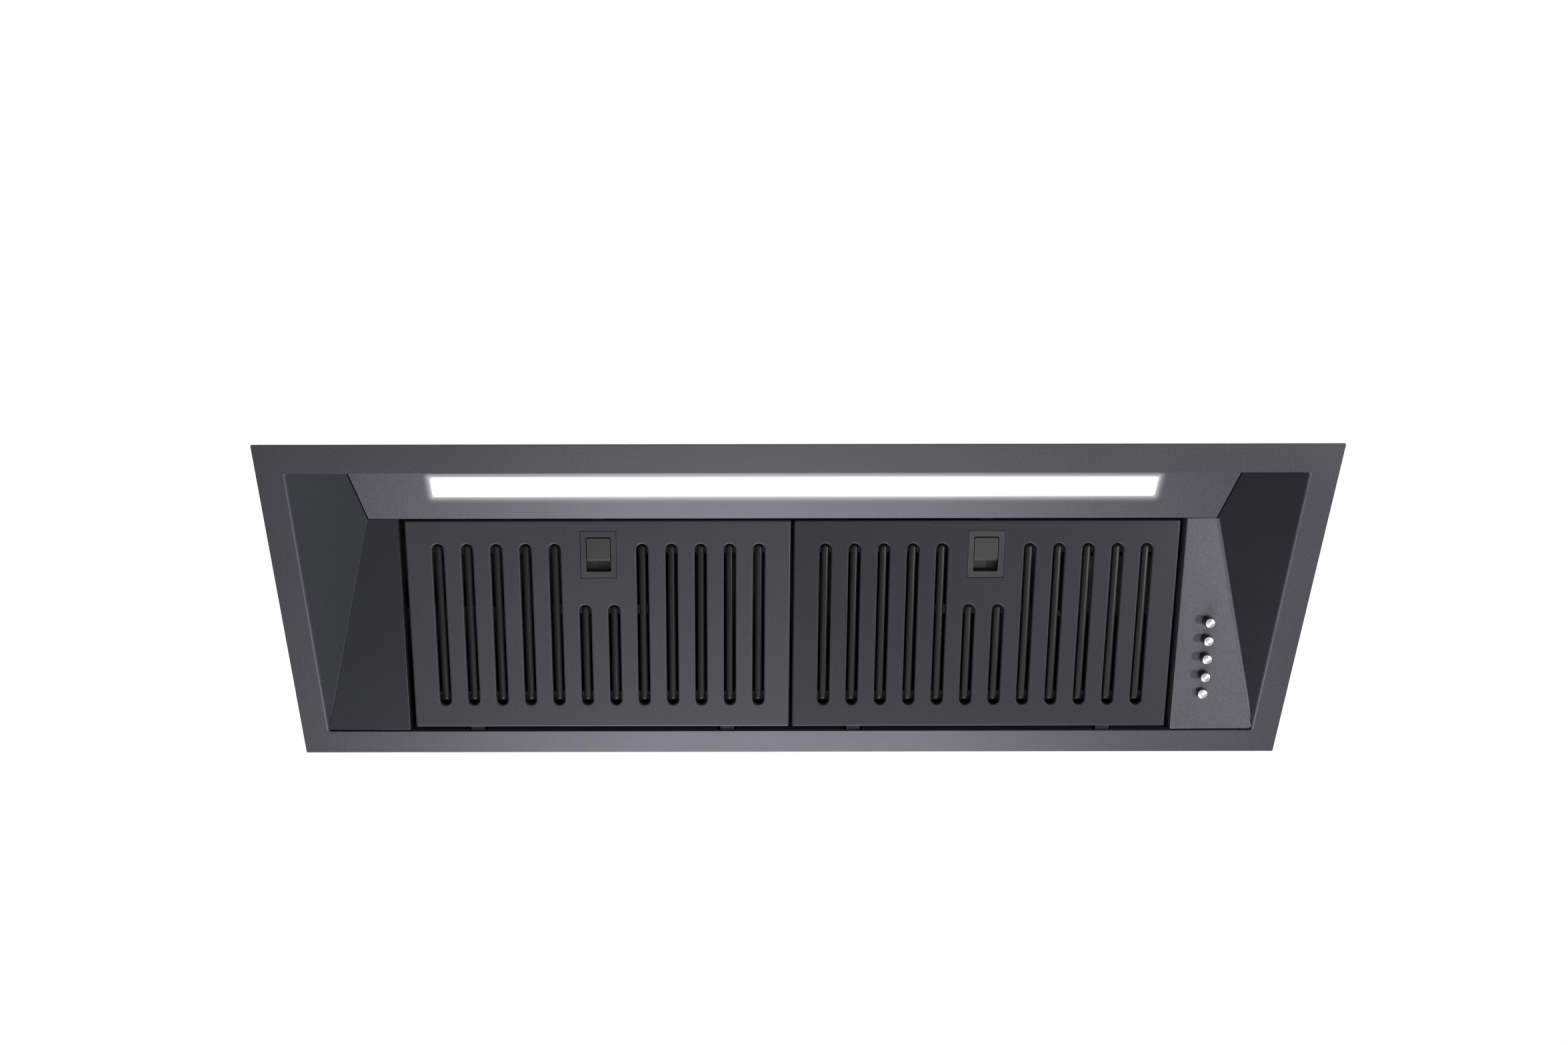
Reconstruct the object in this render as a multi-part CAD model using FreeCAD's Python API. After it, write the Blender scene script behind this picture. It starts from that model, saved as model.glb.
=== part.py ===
"""Range hood insert: a canopy that hangs flush in a cabinet, seen from below.

Millimetres. +X to the right, +Y to the rear, +Z up. The origin is the centre of the
flange's underside. Two slotted baffle filters slope down from a ridge to the rear edge.
"""
import FreeCAD, Part
import math
import os

V = FreeCAD.Vector

# --- driving dimensions -----------------------------------------------------------
flange_width = 860.0
flange_depth = 300.0
flange_sheet = 1.2
flange_corner_radius = 1.0
opening_corner_radius = 2.0
flange_groove_depth = 0.4
side_border = 23.5
front_border = 25.0
rear_border = 23.0
rear_fold_height = 12.0

sheet = 1.0
ridge_setback_depth = 90.0
ridge_height = 47.1
front_wall_height = 34.5
ridge_fold_height = 13.0
cheek_lean_deg = 45.0
panel_gap = 0.8

casing_side_inset = 13.5
casing_front_inset = 19.5
casing_height = 95.0
casing_slope_height = 59.0
casing_slope_depth = 28.5
casing_port_margin = 10.0
side_screw_spacing_y = 200.0
side_screw_spacing_z = 50.0
side_screw_height = 48.0
side_screw_hole_radius = 2.5

housing_width = 380.0
housing_depth = 174.0
housing_rear_inset = 3.0
housing_height = 125.0
housing_lip = 12.0
housing_screw_count = 3
housing_screw_spacing = 65.0
screw_head_radius = 3.6
screw_head_height = 2.2
screw_head_edge = 0.7

collar_radius = 74.5
collar_wall = 1.2
collar_height = 33.0
collar_flange_radius = 86.0
spindle_height = 21.0
spindle_radius = 2.0
spindle_clearance = 0.05
knuckle_wall = 1.15
knuckle_length = 16.0
knuckle_spacing = 34.0
flap_sheet = 1.0
flap_rim_clearance = 1.5
flap_side_clearance = 0.4
flap_stop_clearance = 0.3
flap_stop_length = 5.0
flap_stop_width = 8.0

filter_middle_gap = 2.6
filter_front_gap = 1.6
filter_rear_gap = 4.2
filter_depth = 11.0
slot_count = 12
slot_width = 10.0
slot_side_margin = 22.1
slot_front_margin = 20.6
slot_rear_margin = 20.4
short_slot_gap = 24.4
short_slot_count = 2
slot_lip_height = 3.0
slot_lip_wall = 1.0
rib_width = 7.4
rib_face = 2.8
rib_thickness = 2.2
rib_edge = 1.1
rib_end_gap = 1.6
rib_bar_width = 8.0
rib_bar_thickness = 1.6
filter_tab_width = 12.0
filter_tab_reach = 4.6
filter_tab_spacing = 220.0
filter_tab_window_clearance = 2.0
filter_tab_clearance = 0.3
end_panel_gap = 5.0
end_panel_width = 25.9
end_panel_rear_gap = 1.4

latch_width = 30.5
latch_length = 41.0
latch_start = 9.6
latch_inset = 0.3
latch_lip = 1.5
latch_lip_thickness = 1.0
latch_face_gap = 0.3
latch_pocket_width = 21.2
latch_pocket_length = 30.6
latch_pocket_start = 5.0
latch_pocket_depth = 8.0
latch_pocket_radius = 1.2
latch_wall = 1.2
knob_width = 20.0
knob_length = 20.8
knob_start = 1.1
knob_recess = 0.2
knob_bevel = 2.2
bolt_width = 10.0
bolt_low = 4.0
bolt_high = 7.0
bolt_reach = 4.0
bolt_clearance = 0.3
slide_clearance = 0.3

diffuser_end_margin = 59.1
diffuser_width = 19.6
diffuser_corner_radius = 2.5
diffuser_from_ridge = 23.9
diffuser_thickness = 2.0
diffuser_lip = 3.0
light_channel_height = 12.0
light_channel_wall = 1.2
led_board_width = 12.0
led_board_thickness = 1.6
led_count = 24
led_size = 3.0
led_height = 0.8

button_count = 5
button_pitch = 16.5
button_rear_margin = 31.3
button_from_filter = 31.0
button_radius = 4.0
button_proud = 8.0
button_travel = 3.5
button_collar_radius = 5.5
button_collar_thickness = 1.5
button_stem_radius = 2.0
button_clearance = 0.1
button_edge = 0.6
bush_radius = 4.9
bush_proud = 0.5
bush_edge = 0.2
bush_sleeve_wall = 0.5
bush_sleeve_behind = 2.0
stem_clearance = 0.05
stem_engagement = 3.0
switch_block_start = 13.0
switch_block_height = 12.0
switch_block_width = 22.0
switch_block_margin = 12.0
switch_leg = 4.0

scroll_front_gap = 3.0
scroll_below_top = 66.0
scroll_start_radius = 56.0
scroll_end_radius = 84.0
scroll_tongue_deg = 60.0
scroll_width = 104.0
scroll_wall = 1.5
scroll_inlet_radius = 45.0
scroll_arcs = 5
impeller_radius = 50.0
impeller_inner_radius = 40.5
impeller_width = 96.0
impeller_disc = 2.0
impeller_ring_width = 2.5
blade_count = 28
blade_thickness = 0.9
blade_sweep_deg = 10.0
blade_bow = 1.4
hub_radius = 9.0
hub_length = 24.0
shaft_radius = 4.0
shaft_clearance = 0.05
shaft_overhang = 8.0
motor_radius = 34.0
motor_gap = 7.0
motor_length = 50.0
motor_boss_radius = 11.0
motor_boss_length = 3.0
bracket_arm_width = 12.0
bracket_sheet = 2.0
bracket_arm_count = 3
bracket_first_deg = 30.0
grommet_radius = 4.5
grommet_circle_radius = 51.5

capacitor_radius = 15.0
capacitor_length = 56.0
capacitor_edge = 1.5
capacitor_from_side = 126.5
capacitor_y = -50.0
clip_wall = 1.2
clip_width = 14.0
clip_foot = 10.0
driver_length = 120.0
driver_width = 36.0
driver_height = 22.0
driver_from_side = 116.5
driver_corner_radius = 3.0
driver_y = 60.0
control_box_length = 110.0
control_box_width = 60.0
control_box_height = 24.0
control_box_wall = 2.0
control_box_from_side = 116.5
control_box_y = 20.0
control_board_thickness = 1.6
control_board_gap = 5.0
control_board_side_gap = 1.0
control_pillar_radius = 2.5
control_pillar_inset = 8.0
gland_from_housing = 48.0
gland_y = 60.0
gland_bore = 4.0
gland_radius = 8.0
gland_nut_across = 22.0
gland_nut_height = 6.0
gland_height = 16.0
gland_below = 6.0
cut_over = 1.0

# --- derived places ---------------------------------------------------------------
opening_half = flange_width / 2 - side_border
front_y = -flange_depth / 2 + front_border
rear_y = flange_depth / 2 - rear_border
ridge_y = -flange_depth / 2 + ridge_setback_depth
filter_slope = math.degrees(math.atan2(ridge_height, rear_y - ridge_y))
filter_plane_length = math.hypot(ridge_height, rear_y - ridge_y)
panel_slope = math.degrees(math.atan2(ridge_height - front_wall_height, ridge_y - front_y))
panel_length = math.hypot(ridge_height - front_wall_height, ridge_y - front_y)
cheek_run = math.tan(math.radians(cheek_lean_deg))
ridge_half = opening_half - (ridge_height - flange_sheet) * cheek_run
filter_end_x = ridge_half - end_panel_width - end_panel_gap
filter_width = filter_end_x - filter_middle_gap / 2
filter_centre_x = (filter_width + filter_middle_gap) / 2
filter_length = filter_plane_length - filter_front_gap - filter_rear_gap
filter_rear = filter_front_gap + filter_length
end_panel_inner_x = filter_end_x + end_panel_gap
end_panel_rear = filter_plane_length - end_panel_rear_gap
slot_pitch = (filter_width - 2 * slot_side_margin - slot_width) / (slot_count - 1)
diffuser_length = 2 * (ridge_half - diffuser_end_margin)

casing_half_x = flange_width / 2 - casing_side_inset
casing_half_y = flange_depth / 2 - casing_front_inset
housing_rear = casing_half_y - housing_rear_inset
housing_front = housing_rear - housing_depth
housing_top = casing_height + housing_height
collar_y = (housing_front + housing_rear) / 2
collar_inner = collar_radius - collar_wall
spindle_z = housing_top + spindle_height
scroll_growth = scroll_end_radius - scroll_start_radius
scroll_turn_deg = 360.0 - scroll_tongue_deg
scroll_front_radius = scroll_start_radius + scroll_growth * (180.0 - scroll_tongue_deg) / scroll_turn_deg
scroll_centre_y = housing_front + sheet + scroll_front_gap + scroll_wall + scroll_front_radius
scroll_centre_z = housing_top - sheet - scroll_below_top

button_x = filter_end_x + button_from_filter - filter_middle_gap / 2
button_first = filter_rear - button_rear_margin - (button_count - 1) * button_pitch
stem_length = switch_block_start + stem_engagement
capacitor_x = -casing_half_x + capacitor_from_side
driver_x = -casing_half_x + driver_from_side
control_box_x = casing_half_x - control_box_from_side
gland_x = housing_width / 2 + housing_lip + gland_from_housing


# --- helpers ----------------------------------------------------------------------
def block(x0, x1, y0, y1, z0, z1):
    """Box from its two corners."""
    return Part.makeBox(x1 - x0, y1 - y0, z1 - z0, V(x0, y0, z0))


def rod(radius, start, axis, length):
    """Cylinder from a start point along an axis."""
    return Part.makeCylinder(radius, length, V(*start), V(*axis))


def prism(points, direction):
    """Closed polygon swept along a straight direction."""
    wire = Part.makePolygon([V(*p) for p in points] + [V(*points[0])])
    return Part.Face(wire).extrude(V(*direction))


def on_filter_plane(shape):
    """Place a shape drawn as x, distance behind the ridge, height above the filter face."""
    turn = FreeCAD.Rotation(V(1, 0, 0), -filter_slope)
    shape.Placement = FreeCAD.Placement(V(0, ridge_y, ridge_height), turn).multiply(shape.Placement)
    return shape


def on_light_plane(shape):
    """Place a shape drawn as x, distance from the ridge (front is negative), height."""
    turn = FreeCAD.Rotation(V(1, 0, 0), panel_slope)
    shape.Placement = FreeCAD.Placement(V(0, ridge_y, ridge_height), turn).multiply(shape.Placement)
    return shape


def obround(x, y0, y1, width, z0, z1):
    """Slot with round ends, long along Y, from y0 to y1."""
    radius = width / 2
    straight = block(x - radius, x + radius, y0 + radius, y1 - radius, z0, z1)
    ends = [rod(radius, (x, y, z0), (0, 0, 1), z1 - z0) for y in (y0 + radius, y1 - radius)]
    return straight.multiFuse(ends).removeSplitter()


def rounded_plate(x0, x1, y0, y1, z0, z1, radius):
    """Flat plate whose four upright edges are rounded."""
    plate = block(x0, x1, y0, y1, z0, z1)
    upright = [e for e in plate.Edges if abs(e.tangentAt(e.FirstParameter).z) > 0.9]
    return plate.makeFillet(radius, upright)


def cheek_x(height):
    """Distance of the cheek's inner face from the middle at a height."""
    return opening_half - max(0.0, height - flange_sheet) * cheek_run


def cavity_envelope(gap):
    """Space between the two leaning cheeks, less a gap, as a bar along Y."""
    low, high = flange_sheet, ridge_height + ridge_fold_height + flange_sheet
    start = -flange_depth / 2
    points = [(-cheek_x(low) + gap, start, low), (cheek_x(low) - gap, start, low),
              (cheek_x(high) - gap, start, high), (-cheek_x(high) + gap, start, high)]
    return prism(points, (0, flange_depth, 0))


def mirrored(shape):
    """The same piece on the other side of the middle."""
    return shape.mirror(V(0, 0, 0), V(1, 0, 0))


def moved(shape, x=0.0, y=0.0, z=0.0):
    """A copy of a shape shifted by a vector."""
    copy = shape.copy()
    copy.translate(V(x, y, z))
    return copy


# --- shell ------------------------------------------------------------------------
def flange_frame():
    """Flat border with a groove for the casing and a rear fold that has the filter tab windows."""
    half_x, half_y = flange_width / 2, flange_depth / 2
    border = rounded_plate(-half_x, half_x, -half_y, half_y, 0, flange_sheet, flange_corner_radius)
    border = border.cut(rounded_plate(-opening_half, opening_half, front_y, rear_y, -cut_over,
                                      flange_sheet + cut_over, opening_corner_radius))
    groove_low = flange_sheet - flange_groove_depth
    border = border.cut(casing_ring(groove_low, flange_sheet + cut_over))
    fold = block(-end_panel_inner_x, end_panel_inner_x, rear_y, rear_y + sheet, flange_sheet,
                 flange_sheet + rear_fold_height)
    window_half = filter_tab_width / 2 + filter_tab_window_clearance
    top = flange_sheet + rear_fold_height - filter_tab_window_clearance
    for x in filter_tab_places():
        fold = fold.cut(block(x - window_half, x + window_half, rear_y - 1, rear_y + 2, flange_sheet, top))
    return border.fuse(fold)


def casing_ring(low, high):
    """Footprint of the casing's walls between two heights."""
    outer = block(-casing_half_x, casing_half_x, -casing_half_y, casing_half_y, low, high)
    return outer.cut(block(-casing_half_x + sheet, casing_half_x - sheet, -casing_half_y + sheet,
                           casing_half_y - sheet, low, high))


def filter_tab_places():
    """X of each filter tab, two to a filter."""
    offsets = (-filter_tab_spacing / 2, filter_tab_spacing / 2)
    return [side * filter_centre_x + offset for side in (-1, 1) for offset in offsets]


def cheek():
    """Leaning end wall on the right: from the flange up to the light panel and filter plane."""
    rear_rise = flange_sheet / math.tan(math.radians(filter_slope))
    outline = [(front_y, flange_sheet), (rear_y - rear_rise, flange_sheet),
               (ridge_y, ridge_height), (front_y, front_wall_height)]
    lean = math.radians(cheek_lean_deg)
    out = (sheet * math.cos(lean), 0, sheet * math.sin(lean))
    return prism([(cheek_x(z), y, z) for y, z in outline], out)


def light_panel():
    """One bent sheet: front wall, lamp panel and the fold along the ridge."""
    wall = block(-opening_half, opening_half, front_y - sheet, front_y, flange_sheet, front_wall_height + sheet)
    panel = on_light_plane(block(-opening_half, opening_half, -panel_length, 0, 0, sheet))
    fold = on_filter_plane(block(-opening_half, opening_half, -sheet, 0, 0, ridge_fold_height))
    for x in (-filter_centre_x, filter_centre_x):
        half = bolt_width / 2 + bolt_clearance
        window = block(x - half, x + half, -2 * sheet, sheet, bolt_low - bolt_clearance,
                       bolt_high + bolt_clearance)
        fold = fold.cut(on_filter_plane(window))
    whole = wall.multiFuse([panel, fold]).removeSplitter().common(cavity_envelope(panel_gap))
    hole_start = -diffuser_from_ridge - diffuser_width
    hole = rounded_plate(-diffuser_length / 2, diffuser_length / 2, hole_start, hole_start + diffuser_width,
                         -sheet, 2 * sheet, diffuser_corner_radius)
    return whole.cut(on_light_plane(hole))


def end_panel():
    """Blank plate between the right filter and the right cheek, with stiffening folds."""
    inner, rear = end_panel_inner_x, end_panel_rear
    slope = math.radians(filter_slope)
    rear_x = cheek_x(ridge_height - (rear - opening_corner_radius) * math.sin(slope))
    corner = opening_corner_radius
    outline = [(inner, 0, 0), (ridge_half, 0, 0), (rear_x, rear - corner, 0), (rear_x - corner, rear, 0),
               (inner, rear, 0)]
    plate = prism(outline, (0, 0, sheet))
    side_fold = block(inner, inner + sheet, 0, rear, 0, filter_depth)
    front_fold = block(inner, ridge_half - sheet, 0, sheet, 0, filter_depth)
    rear_fold = block(inner, ridge_half, rear - sheet, rear, 0, filter_depth)
    plate = on_filter_plane(plate.multiFuse([side_fold, front_fold, rear_fold]))
    lip_z = filter_depth - 2 * sheet
    lip_y = ridge_y + rear * math.cos(slope) - sheet
    lip = block(inner, ridge_half, lip_y, casing_half_y - sheet, lip_z, lip_z + sheet)
    return plate.fuse(lip).removeSplitter()


def casing_profile(inset, low):
    """Side view of the casing, inset by a wall: its upper front edge slopes back."""
    lean = casing_slope_depth / casing_slope_height
    front, rear, top = -casing_half_y + inset, casing_half_y - inset, casing_height - inset
    slope_low = casing_height - casing_slope_height
    sloped = inset * math.hypot(1, lean)
    bend = slope_low + (inset - sloped) / lean
    top_front = -casing_half_y + (top - slope_low) * lean + sloped
    half = casing_half_x - inset
    outline = [(front, low), (front, bend), (top_front, top), (rear, top), (rear, low)]
    return prism([(-half, y, z) for y, z in outline], (2 * half, 0, 0))


def plenum_casing():
    """Outer box that goes through the cabinet cut-out, open below and under the motor."""
    low = flange_sheet - flange_groove_depth
    shell = casing_profile(0.0, low).cut(casing_profile(sheet, low - cut_over))
    port_x = housing_width / 2 - casing_port_margin
    port_front, port_rear = housing_front + casing_port_margin, housing_rear - casing_port_margin
    shell = shell.cut(block(-port_x, port_x, port_front, port_rear, casing_height - sheet - cut_over,
                            casing_height + cut_over))
    for y in (-side_screw_spacing_y / 2, side_screw_spacing_y / 2):
        for z in (-side_screw_spacing_z / 2, side_screw_spacing_z / 2):
            centre = (-casing_half_x - cut_over, y, side_screw_height + z)
            shell = shell.cut(rod(side_screw_hole_radius, centre, (1, 0, 0), 2 * (casing_half_x + cut_over)))
    return shell.cut(rod(gland_radius, (gland_x, gland_y, casing_height - sheet - cut_over), (0, 0, 1),
                         sheet + 2 * cut_over))


def motor_housing():
    """Box over the blower with side lips that are screwed to the casing."""
    half_x = housing_width / 2
    shell = block(-half_x, half_x, housing_front, housing_rear, casing_height, housing_top)
    lips = block(-half_x - housing_lip, half_x + housing_lip, housing_front, housing_rear, casing_height,
                 casing_height + sheet)
    shell = shell.fuse(lips)
    shell = shell.cut(block(-half_x + sheet, half_x - sheet, housing_front + sheet, housing_rear - sheet,
                            casing_height - cut_over, housing_top - sheet))
    return shell.cut(rod(collar_inner, (0, collar_y, housing_top - sheet - cut_over), (0, 0, 1),
                         sheet + 2 * cut_over))


def housing_screws():
    """Screws through the housing lips, one row on each side."""
    screws = []
    for side in (-1, 1):
        for i in range(housing_screw_count):
            x = side * (housing_width + housing_lip) / 2
            y = collar_y + (i - (housing_screw_count - 1) / 2) * housing_screw_spacing
            head = rod(screw_head_radius, (x, y, casing_height + sheet), (0, 0, 1), screw_head_height)
            rim = [e for e in head.Edges if e.BoundBox.ZMin > casing_height + sheet + screw_head_height / 2]
            screws.append(head.makeChamfer(screw_head_edge, rim[:1]))
    return Part.makeCompound(screws)


# --- duct collar and back-draught flaps -------------------------------------------
def duct_collar():
    """Round spigot with a foot ring, spindle holes and the two flap stops."""
    foot = rod(collar_flange_radius, (0, 0, housing_top), (0, 0, 1), sheet)
    tube = rod(collar_radius, (0, 0, housing_top), (0, 0, 1), collar_height)
    ring = foot.fuse(tube).cut(rod(collar_inner, (0, 0, housing_top - 1), (0, 0, 1), collar_height + 2))
    stop_top = spindle_z - flap_sheet / 2 - flap_stop_clearance
    for side in (-1, 1):
        stop = block(0, collar_radius, -flap_stop_width / 2, flap_stop_width / 2, stop_top - flap_stop_width / 2,
                     stop_top)
        stop = stop.common(rod(collar_inner + collar_wall / 2, (0, 0, housing_top), (0, 0, 1), collar_height))
        stop = stop.cut(rod(collar_inner - flap_stop_length, (0, 0, housing_top), (0, 0, 1), collar_height))
        ring = ring.fuse(stop if side > 0 else mirrored(stop))
    spindle_cut = rod(spindle_radius, (0, -collar_radius - cut_over, spindle_z), (0, 1, 0),
                      2 * (collar_radius + cut_over))
    return moved(ring.cut(spindle_cut), y=collar_y)


def flap_spindle():
    """Rod across the collar that both flaps hang on."""
    return rod(spindle_radius, (0, collar_y - collar_radius, spindle_z), (0, 1, 0), 2 * collar_radius)


def flap(side):
    """Half-round flap with two knuckles; the other flap's knuckles fit in its notches."""
    outer = spindle_radius + spindle_clearance + knuckle_wall
    radius = collar_inner - flap_rim_clearance
    low = spindle_z - flap_sheet / 2
    disc = rod(radius, (0, 0, low), (0, 0, 1), flap_sheet)
    plate = disc.common(block(outer + flap_side_clearance, radius, -radius, radius, low, low + flap_sheet))
    knuckles = []
    for i in range(4):
        y = (i - 1.5) * knuckle_spacing - knuckle_length / 2
        if (i % 2 == 0) == (side > 0):
            knuckle = rod(outer, (0, y, spindle_z), (0, 1, 0), knuckle_length)
            web = block(0, outer + 2 * flap_side_clearance, y, y + knuckle_length, low, low + flap_sheet)
            knuckles.append(knuckle.fuse(web))
    bore = rod(spindle_radius + spindle_clearance, (0, -radius, spindle_z), (0, 1, 0), 2 * radius)
    whole = moved(plate.multiFuse(knuckles).cut(bore), y=collar_y)
    return whole if side > 0 else mirrored(whole)


# --- blower -----------------------------------------------------------------------
def polar(radius, angle_deg, x=0.0):
    """Point round the blower's axis: angle 0 is towards +Y, 90 is up."""
    angle = math.radians(angle_deg)
    return V(x, scroll_centre_y + radius * math.cos(angle), scroll_centre_z + radius * math.sin(angle))


def scroll_form(grow, half_width):
    """Spiral volute in arcs: its radius grows evenly from the tongue to the outlet, which points up."""
    steps = 2 * scroll_arcs
    points = []
    for i in range(steps + 1):
        radius = scroll_start_radius + scroll_growth * i / steps + grow
        points.append(polar(radius, scroll_tongue_deg + scroll_turn_deg * i / steps, -half_width))
    edges = [Part.Arc(points[i], points[i + 1], points[i + 2]).toShape() for i in range(0, steps, 2)]
    top = housing_top - sheet
    first, last = points[0], points[-1]
    corner_a = V(-half_width, last.y, top)
    corner_b = V(-half_width, first.y, top)
    edges += [Part.makeLine(last, corner_a), Part.makeLine(corner_a, corner_b), Part.makeLine(corner_b, first)]
    return Part.Face(Part.Wire(edges)).extrude(V(2 * half_width, 0, 0))


def blower_scroll():
    """Hollow volute with a round inlet in each side and an open top."""
    half = scroll_width / 2
    outer = scroll_form(scroll_wall, half)
    inner = scroll_form(0.0, half - scroll_wall)
    body = outer.cut(inner)
    centre = polar(0, 0, -half - 1)
    return body.cut(rod(scroll_inlet_radius, (centre.x, centre.y, centre.z), (1, 0, 0), scroll_width + 2))


def blade():
    """One forward-curved blade: a thin bent section along the impeller's width."""
    half = impeller_width / 2
    inner_r, outer_r = impeller_inner_radius, impeller_radius - blade_thickness
    middle_r = (inner_r + outer_r) / 2
    wall_deg = math.degrees(blade_thickness / middle_r)
    bow_deg = math.degrees(blade_bow / middle_r)
    stations = [(inner_r, 0.0), (middle_r, blade_sweep_deg / 2 - bow_deg), (outer_r, blade_sweep_deg)]
    outline = [polar(r, angle, -half) for r, angle in stations]
    outline += [polar(r, angle + wall_deg, -half) for r, angle in reversed(stations)]
    return prism([tuple(p) for p in outline], (impeller_width, 0, 0))


def impeller():
    """Double-inlet wheel: hub and middle disc, ring of blades, a ring at each end."""
    centre = polar(0, 0)
    axis = (1, 0, 0)

    def tube(outer, inner, x0, x1):
        ring = rod(outer, (x0, centre.y, centre.z), axis, x1 - x0)
        return ring.cut(rod(inner, (x0 - 1, centre.y, centre.z), axis, x1 - x0 + 2))

    half = impeller_width / 2
    ring_inner = impeller_radius - 2 * blade_thickness
    disc = tube(impeller_radius, shaft_radius, -impeller_disc / 2, impeller_disc / 2)
    hub = tube(hub_radius, shaft_radius, -impeller_disc / 2, hub_length)
    rings = [tube(impeller_radius, ring_inner, -half, -half + impeller_ring_width),
             tube(impeller_radius, ring_inner, half - impeller_ring_width, half)]
    blades = []
    for i in range(blade_count):
        one = blade()
        one.rotate(centre, V(1, 0, 0), 360.0 * i / blade_count)
        blades.append(one)
    return disc.multiFuse([hub] + rings + blades)


def motor_face_x():
    """X of the motor's inner end, beside the impeller's disc."""
    return -impeller_disc / 2 - motor_gap


def motor_outer_x():
    """X of the motor's outer end, where the bracket sits."""
    return motor_face_x() - motor_length


def motor_shaft():
    """Shaft through the motor and the impeller's hub."""
    centre = polar(0, 0)
    start = motor_outer_x() - motor_boss_length - shaft_overhang
    return rod(shaft_radius, (start, centre.y, centre.z), (1, 0, 0), hub_length - start + shaft_overhang / 2)


def motor_body():
    """Motor can with a bearing boss at each end."""
    centre = polar(0, 0)
    can = rod(motor_radius, (motor_outer_x(), centre.y, centre.z), (1, 0, 0), motor_length)
    can = can.makeChamfer(motor_boss_length, [e for e in can.Edges if len(e.Vertexes) == 1])
    start = motor_outer_x() - motor_boss_length
    boss = rod(motor_boss_radius, (start, centre.y, centre.z), (1, 0, 0), motor_length + 2 * motor_boss_length)
    bore = rod(shaft_radius + shaft_clearance, (start - cut_over, centre.y, centre.z), (1, 0, 0),
               motor_length + 2 * (motor_boss_length + cut_over))
    return can.fuse(boss).cut(bore)


def grommet_angles():
    """Angles of the bracket's arms and their rubber mounts."""
    return [bracket_first_deg + 360.0 * i / bracket_arm_count for i in range(bracket_arm_count)]


def motor_bracket():
    """Three-armed plate that carries the motor in front of the inlet."""
    centre = polar(0, 0)
    x1 = motor_outer_x()
    x0 = x1 - bracket_sheet
    plate = rod(motor_radius / 2, (x0, centre.y, centre.z), (1, 0, 0), bracket_sheet)
    reach = grommet_circle_radius + grommet_radius
    arms = []
    for angle in grommet_angles():
        arm = block(x0, x1, centre.y, centre.y + reach, centre.z - bracket_arm_width / 2,
                    centre.z + bracket_arm_width / 2)
        arm.rotate(centre, V(1, 0, 0), angle)
        arms.append(arm)
    hole = rod(motor_boss_radius, (x0 - 1, centre.y, centre.z), (1, 0, 0), bracket_sheet + 2)
    return plate.multiFuse(arms).cut(hole)


def motor_grommets():
    """Rubber mounts between the bracket's arms and the volute."""
    x0, x1 = motor_outer_x(), -scroll_width / 2
    mounts = []
    for angle in grommet_angles():
        p = polar(grommet_circle_radius, angle, x0)
        mounts.append(rod(grommet_radius, (p.x, p.y, p.z), (1, 0, 0), x1 - x0))
    return Part.makeCompound(mounts)


# --- filters ----------------------------------------------------------------------
def slot_places():
    """For each slot: x from the filter's middle, start and end behind the ridge."""
    start = filter_front_gap + slot_front_margin
    short_start = filter_front_gap + latch_start + latch_length + short_slot_gap
    end = filter_rear - slot_rear_margin
    places = []
    for i in range(slot_count):
        from_middle = i - (slot_count - 1) / 2
        short = abs(from_middle) < short_slot_count / 2
        places.append((from_middle * slot_pitch, short_start if short else start, end))
    return places


def latch_front():
    """Distance of the latch bezel's front edge behind the ridge."""
    return filter_front_gap + latch_start


def pocket_front():
    """Distance of the latch pocket's front edge behind the ridge."""
    return latch_front() + latch_pocket_start


def filter_face():
    """Tray of sheet: slotted face with turned-in lips, four upright rims and two rear tabs."""
    half = filter_width / 2
    front, rear = filter_front_gap, filter_rear
    tray = block(-half, half, front, rear, 0, filter_depth)
    tray = tray.cut(block(-half + sheet, half - sheet, front + sheet, rear - sheet, sheet, filter_depth + 1))
    lips, holes = [], []
    for x, start, end in slot_places():
        lips.append(obround(x, start - slot_lip_wall, end + slot_lip_wall, slot_width + 2 * slot_lip_wall,
                            0, slot_lip_height))
        holes.append(obround(x, start, end, slot_width, -1, slot_lip_height + 1))
    tray = tray.multiFuse(lips).cut(Part.makeCompound(holes))
    hole_half = latch_width / 2 + latch_face_gap
    tray = tray.cut(block(-hole_half, hole_half, latch_front() - latch_face_gap,
                          latch_front() + latch_length + latch_face_gap, -cut_over, sheet + cut_over))
    bolt_half = bolt_width / 2 + bolt_clearance
    tray = tray.cut(block(-bolt_half, bolt_half, front - 1, front + sheet + 1, bolt_low - bolt_clearance,
                          bolt_high + bolt_clearance))
    slope = math.radians(filter_slope)
    tip_drop = ridge_height - (rear + filter_tab_reach) * math.sin(slope)
    tab_low = (flange_sheet + filter_tab_clearance - tip_drop) / math.cos(slope)
    for x in (-filter_tab_spacing / 2, filter_tab_spacing / 2):
        tray = tray.fuse(block(x - filter_tab_width / 2, x + filter_tab_width / 2, rear - sheet,
                               rear + filter_tab_reach, tab_low, tab_low + sheet))
    return tray


def baffle_rib(x, start, end):
    """Round-ended rib behind one slot, bevelled all round the side that faces it."""
    rib = obround(x, start + rib_end_gap, end - rib_end_gap, rib_width, rib_face, rib_face + rib_thickness)
    rim = [e for e in rib.Edges if e.BoundBox.ZMax < rib_face + rib_thickness / 2]
    return rib.makeChamfer(rib_edge, rim)


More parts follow.
